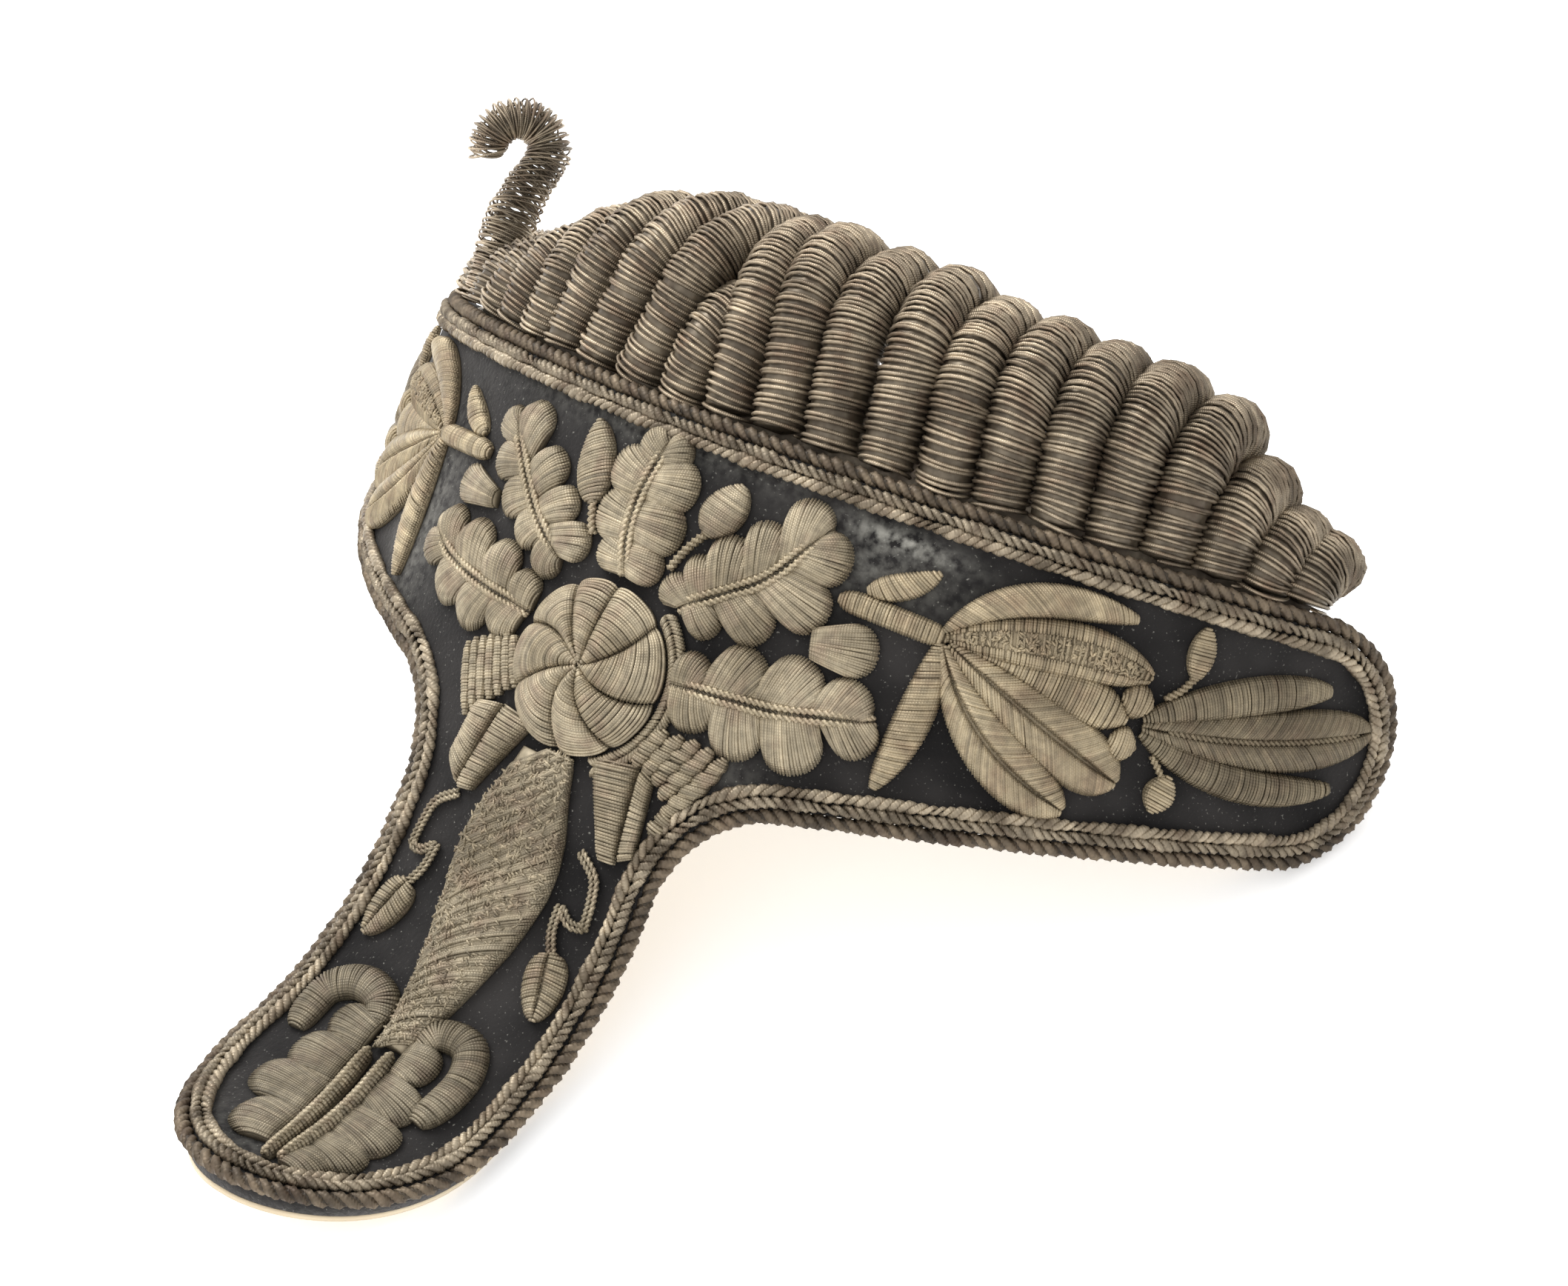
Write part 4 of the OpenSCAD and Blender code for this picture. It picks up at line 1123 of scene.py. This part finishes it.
parts = []
for u, lean, straight, curl_r, curl_angle in coils:
    lean, curl_angle, straight = np.radians(lean), np.radians(curl_angle), straight + foot_more
    share_in = 0.6 if u < pressed_u else 0.1
    go = unit(rise_dir * np.cos(lean) + across(u) * np.sin(lean))
    down = -outward(u, 0.0) * share_in - np.array([0, 0, 1 - share_in])
    over = unit(down - go * (down @ go))
    start = on_board(u, top_edge(u) + coil_start, -coil_depth)
    length = straight + curl_r * curl_angle
    count = int(length / tip_pitch * turn_points)
    s = np.linspace(0, length, count)
    pitch = foot_pitch + (tip_pitch - foot_pitch) * (s / length) ** 0.8
    pitch = np.where(s > straight, pitch * curl_r / (curl_r + 0.7 * coil_d), pitch)
    turn_angle = 2 * np.pi * np.cumsum((length / count) / pitch) + rng.uniform(0, 6)
    centre, forward = curled(start, go, over, s, straight, curl_r)
    side = np.cross(go, over)
    bow = rng.normal(0, 0.25) * np.sin(4 * s / length + rng.uniform(0, 6))
    centre = centre + mm * bow[:, None] * side
    swell = swell_right if u > 10 else swell_left
    half_w = (coil_w - 0.1 + swell * np.minimum(2.2 * s / length, 1))[:, None]
    parts.append(wound_wire(centre, forward, side, half_w, coil_d - wire_r, turn_angle,
                            wire_r, rng.uniform(0.88, 1.1)))
    k = slice(None, None, core_step)
    parts.append(shade_core(centre[k], side, forward[k], half_w[k, None] - 0.25, coil_d - 2 * wire_r))
heading_h = pad_t + 2 * foot
heading_t = 1.2
# The tape reaches from 7 mm inside the edge to between the coils, by the second row of
# numbers at the places of the first
tape_in = 7
# A tape holds the coils; its dark tone and its reach up between them are painted shade behind their
# feet
tape_shade_tone = 0.4
tape_at = [-112, -50, -30, -5, 26, 76, 88, 101, 112]
tape_reach = [6, 8, 15, 18, 18, 14, 12, 5, 3.5]
tape_u, tape_share = np.meshgrid(np.linspace(-112, 112, 90), np.linspace(0, 1, 9), indexing="ij")
tape_width = tape_in + np.interp(tape_u, tape_at, tape_reach)
tape_v = top_edge(tape_u) - tape_in + tape_width * tape_share
points, faces = slab(on_board(tape_u, tape_v, -heading_h),
                     on_board(tape_u, tape_v, -heading_h - heading_t))
parts.append((points, faces, (0.0, tape_shade_tone, 0.0)))
make_piece("bullion_coils", parts, bullion_metal, "bullion", "bullion_fringe")

# Loose bullion
# One coil at the wing's left end has come loose. It stands up with its turns pulled
# apart and hooks over outward.
loose_u = -82
loose_rise = 23.2
loose_hook = 5.4
loose_foot = 4.5
loose_out = 3
hook_angle = np.radians(210)
bow_out = 1.5
bow_back = 2.0
# One row for each winding: how much narrower it is, and how fast and which way it turns
windings = ((0.2, 1.0), (0.5, -0.9), (1.0, 1.2), (1.6, -1.1))
go = unit(rise_dir + across(loose_u) * 0.1)
out = outward(loose_u, 0.0)
base = on_board(loose_u, top_edge(loose_u) + coil_start + foot_more + loose_out, -coil_depth)
length = loose_rise + loose_hook * hook_angle
count = 1100
s = np.linspace(-loose_foot, length, count)
bow = bow_out * np.sin(np.pi * np.clip(s, 0, loose_rise) / loose_rise)
centre, forward = curled(base, go, out, s, loose_rise, loose_hook, bow)
side = unit(across(loose_u) - go * (across(loose_u) @ go))
pulled = 0.8 + 0.35 * np.exp(-((s - 12) / 8) ** 2)
turn_angle = 2 * np.pi * np.cumsum((length / count) / pulled)
loose_w = np.interp(s, [0, 10, 20, length], [5.9, 5.5, 4.8, 4.2])[:, None]
centre = centre - mm * bow_back * np.sin(np.pi * np.clip(s / loose_rise, 0, 1))[:, None] * side
parts = [wound_wire(centre, forward, side, loose_w - narrow, loose_w - 0.6 - narrow,
                    turn_angle * faster + 2 * narrow, 0.2, 1.05, 0.9)
         for narrow, faster in windings]
make_piece("loose_bullion_coil", parts, bullion_metal, "bullion", "loose_bullion")

# Fastening tongue
# A plain strip of brass under the strap that slides into a loop on the coat. It keeps the
# part's own solid and only gets its surface here.
brass_light = (0.62, 0.42, 0.16, 1)
brass_dark = (0.4, 0.27, 0.11, 1)
brass, shader, place, marks = start_material("plain brass", {"Metallic": 1.0})
feed(brass, shader, "Base Color",
     blend(brass, ramp(brass, noise(brass, place, 6, 3), 0.35, 0.7), brass_light, brass_dark))
feed(brass, shader, "Roughness", ramp(brass, noise(brass, place, 2, 3), 0.3, 0.7, 0.25, 0.5))
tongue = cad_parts["fastening_tongue"]
tongue.data.materials.clear()
tongue.data.materials.append(brass)

# Floor and light
# A plain white studio table under a wide soft light from the upper left of the picture,
# with a weak one in front that opens the shadows.
white = start_material("white studio table", {
    "Base Color": (0.9, 0.9, 0.9, 1), "Roughness": 0.9, "Emission Color": (1, 1, 1, 1),
    "Emission Strength": 0.35})[0]
floor_mesh = bpy.data.meshes.new("floor")
corner = 3.0
floor_mesh.from_pydata([(-corner, -corner, 0), (corner, -corner, 0), (corner, corner, 0),
                        (-corner, corner, 0)], [], [(0, 1, 2, 3)])
floor_mesh.materials.append(white)
floor = bpy.data.objects.new("floor", floor_mesh)
scene.collection.objects.link(floor)

world = bpy.data.worlds.new("studio")
scene.world = world
world.use_nodes = True
world.node_tree.nodes["Background"].inputs["Color"].default_value = (1, 1, 1, 1)
world.node_tree.nodes["Background"].inputs["Strength"].default_value = 1.0


def soft_light(name, place, aim, size, watts):
    """A square lamp of the given size at a place, turned to its aim."""
    lamp = bpy.data.lights.new(name, "AREA")
    lamp.size = size
    lamp.energy = watts
    light = bpy.data.objects.new(name, lamp)
    light.location = place
    light.rotation_euler = (Vector(aim) - Vector(place)).to_track_quat("-Z", "Y").to_euler()
    scene.collection.objects.link(light)


soft_light("key", (-0.75, 0.15, 0.95), (0, 0, 0.03), 0.7, 12)
soft_light("fill", (0.2, -0.9, 0.8), (0, 0, 0.03), 0.9, 2.5)
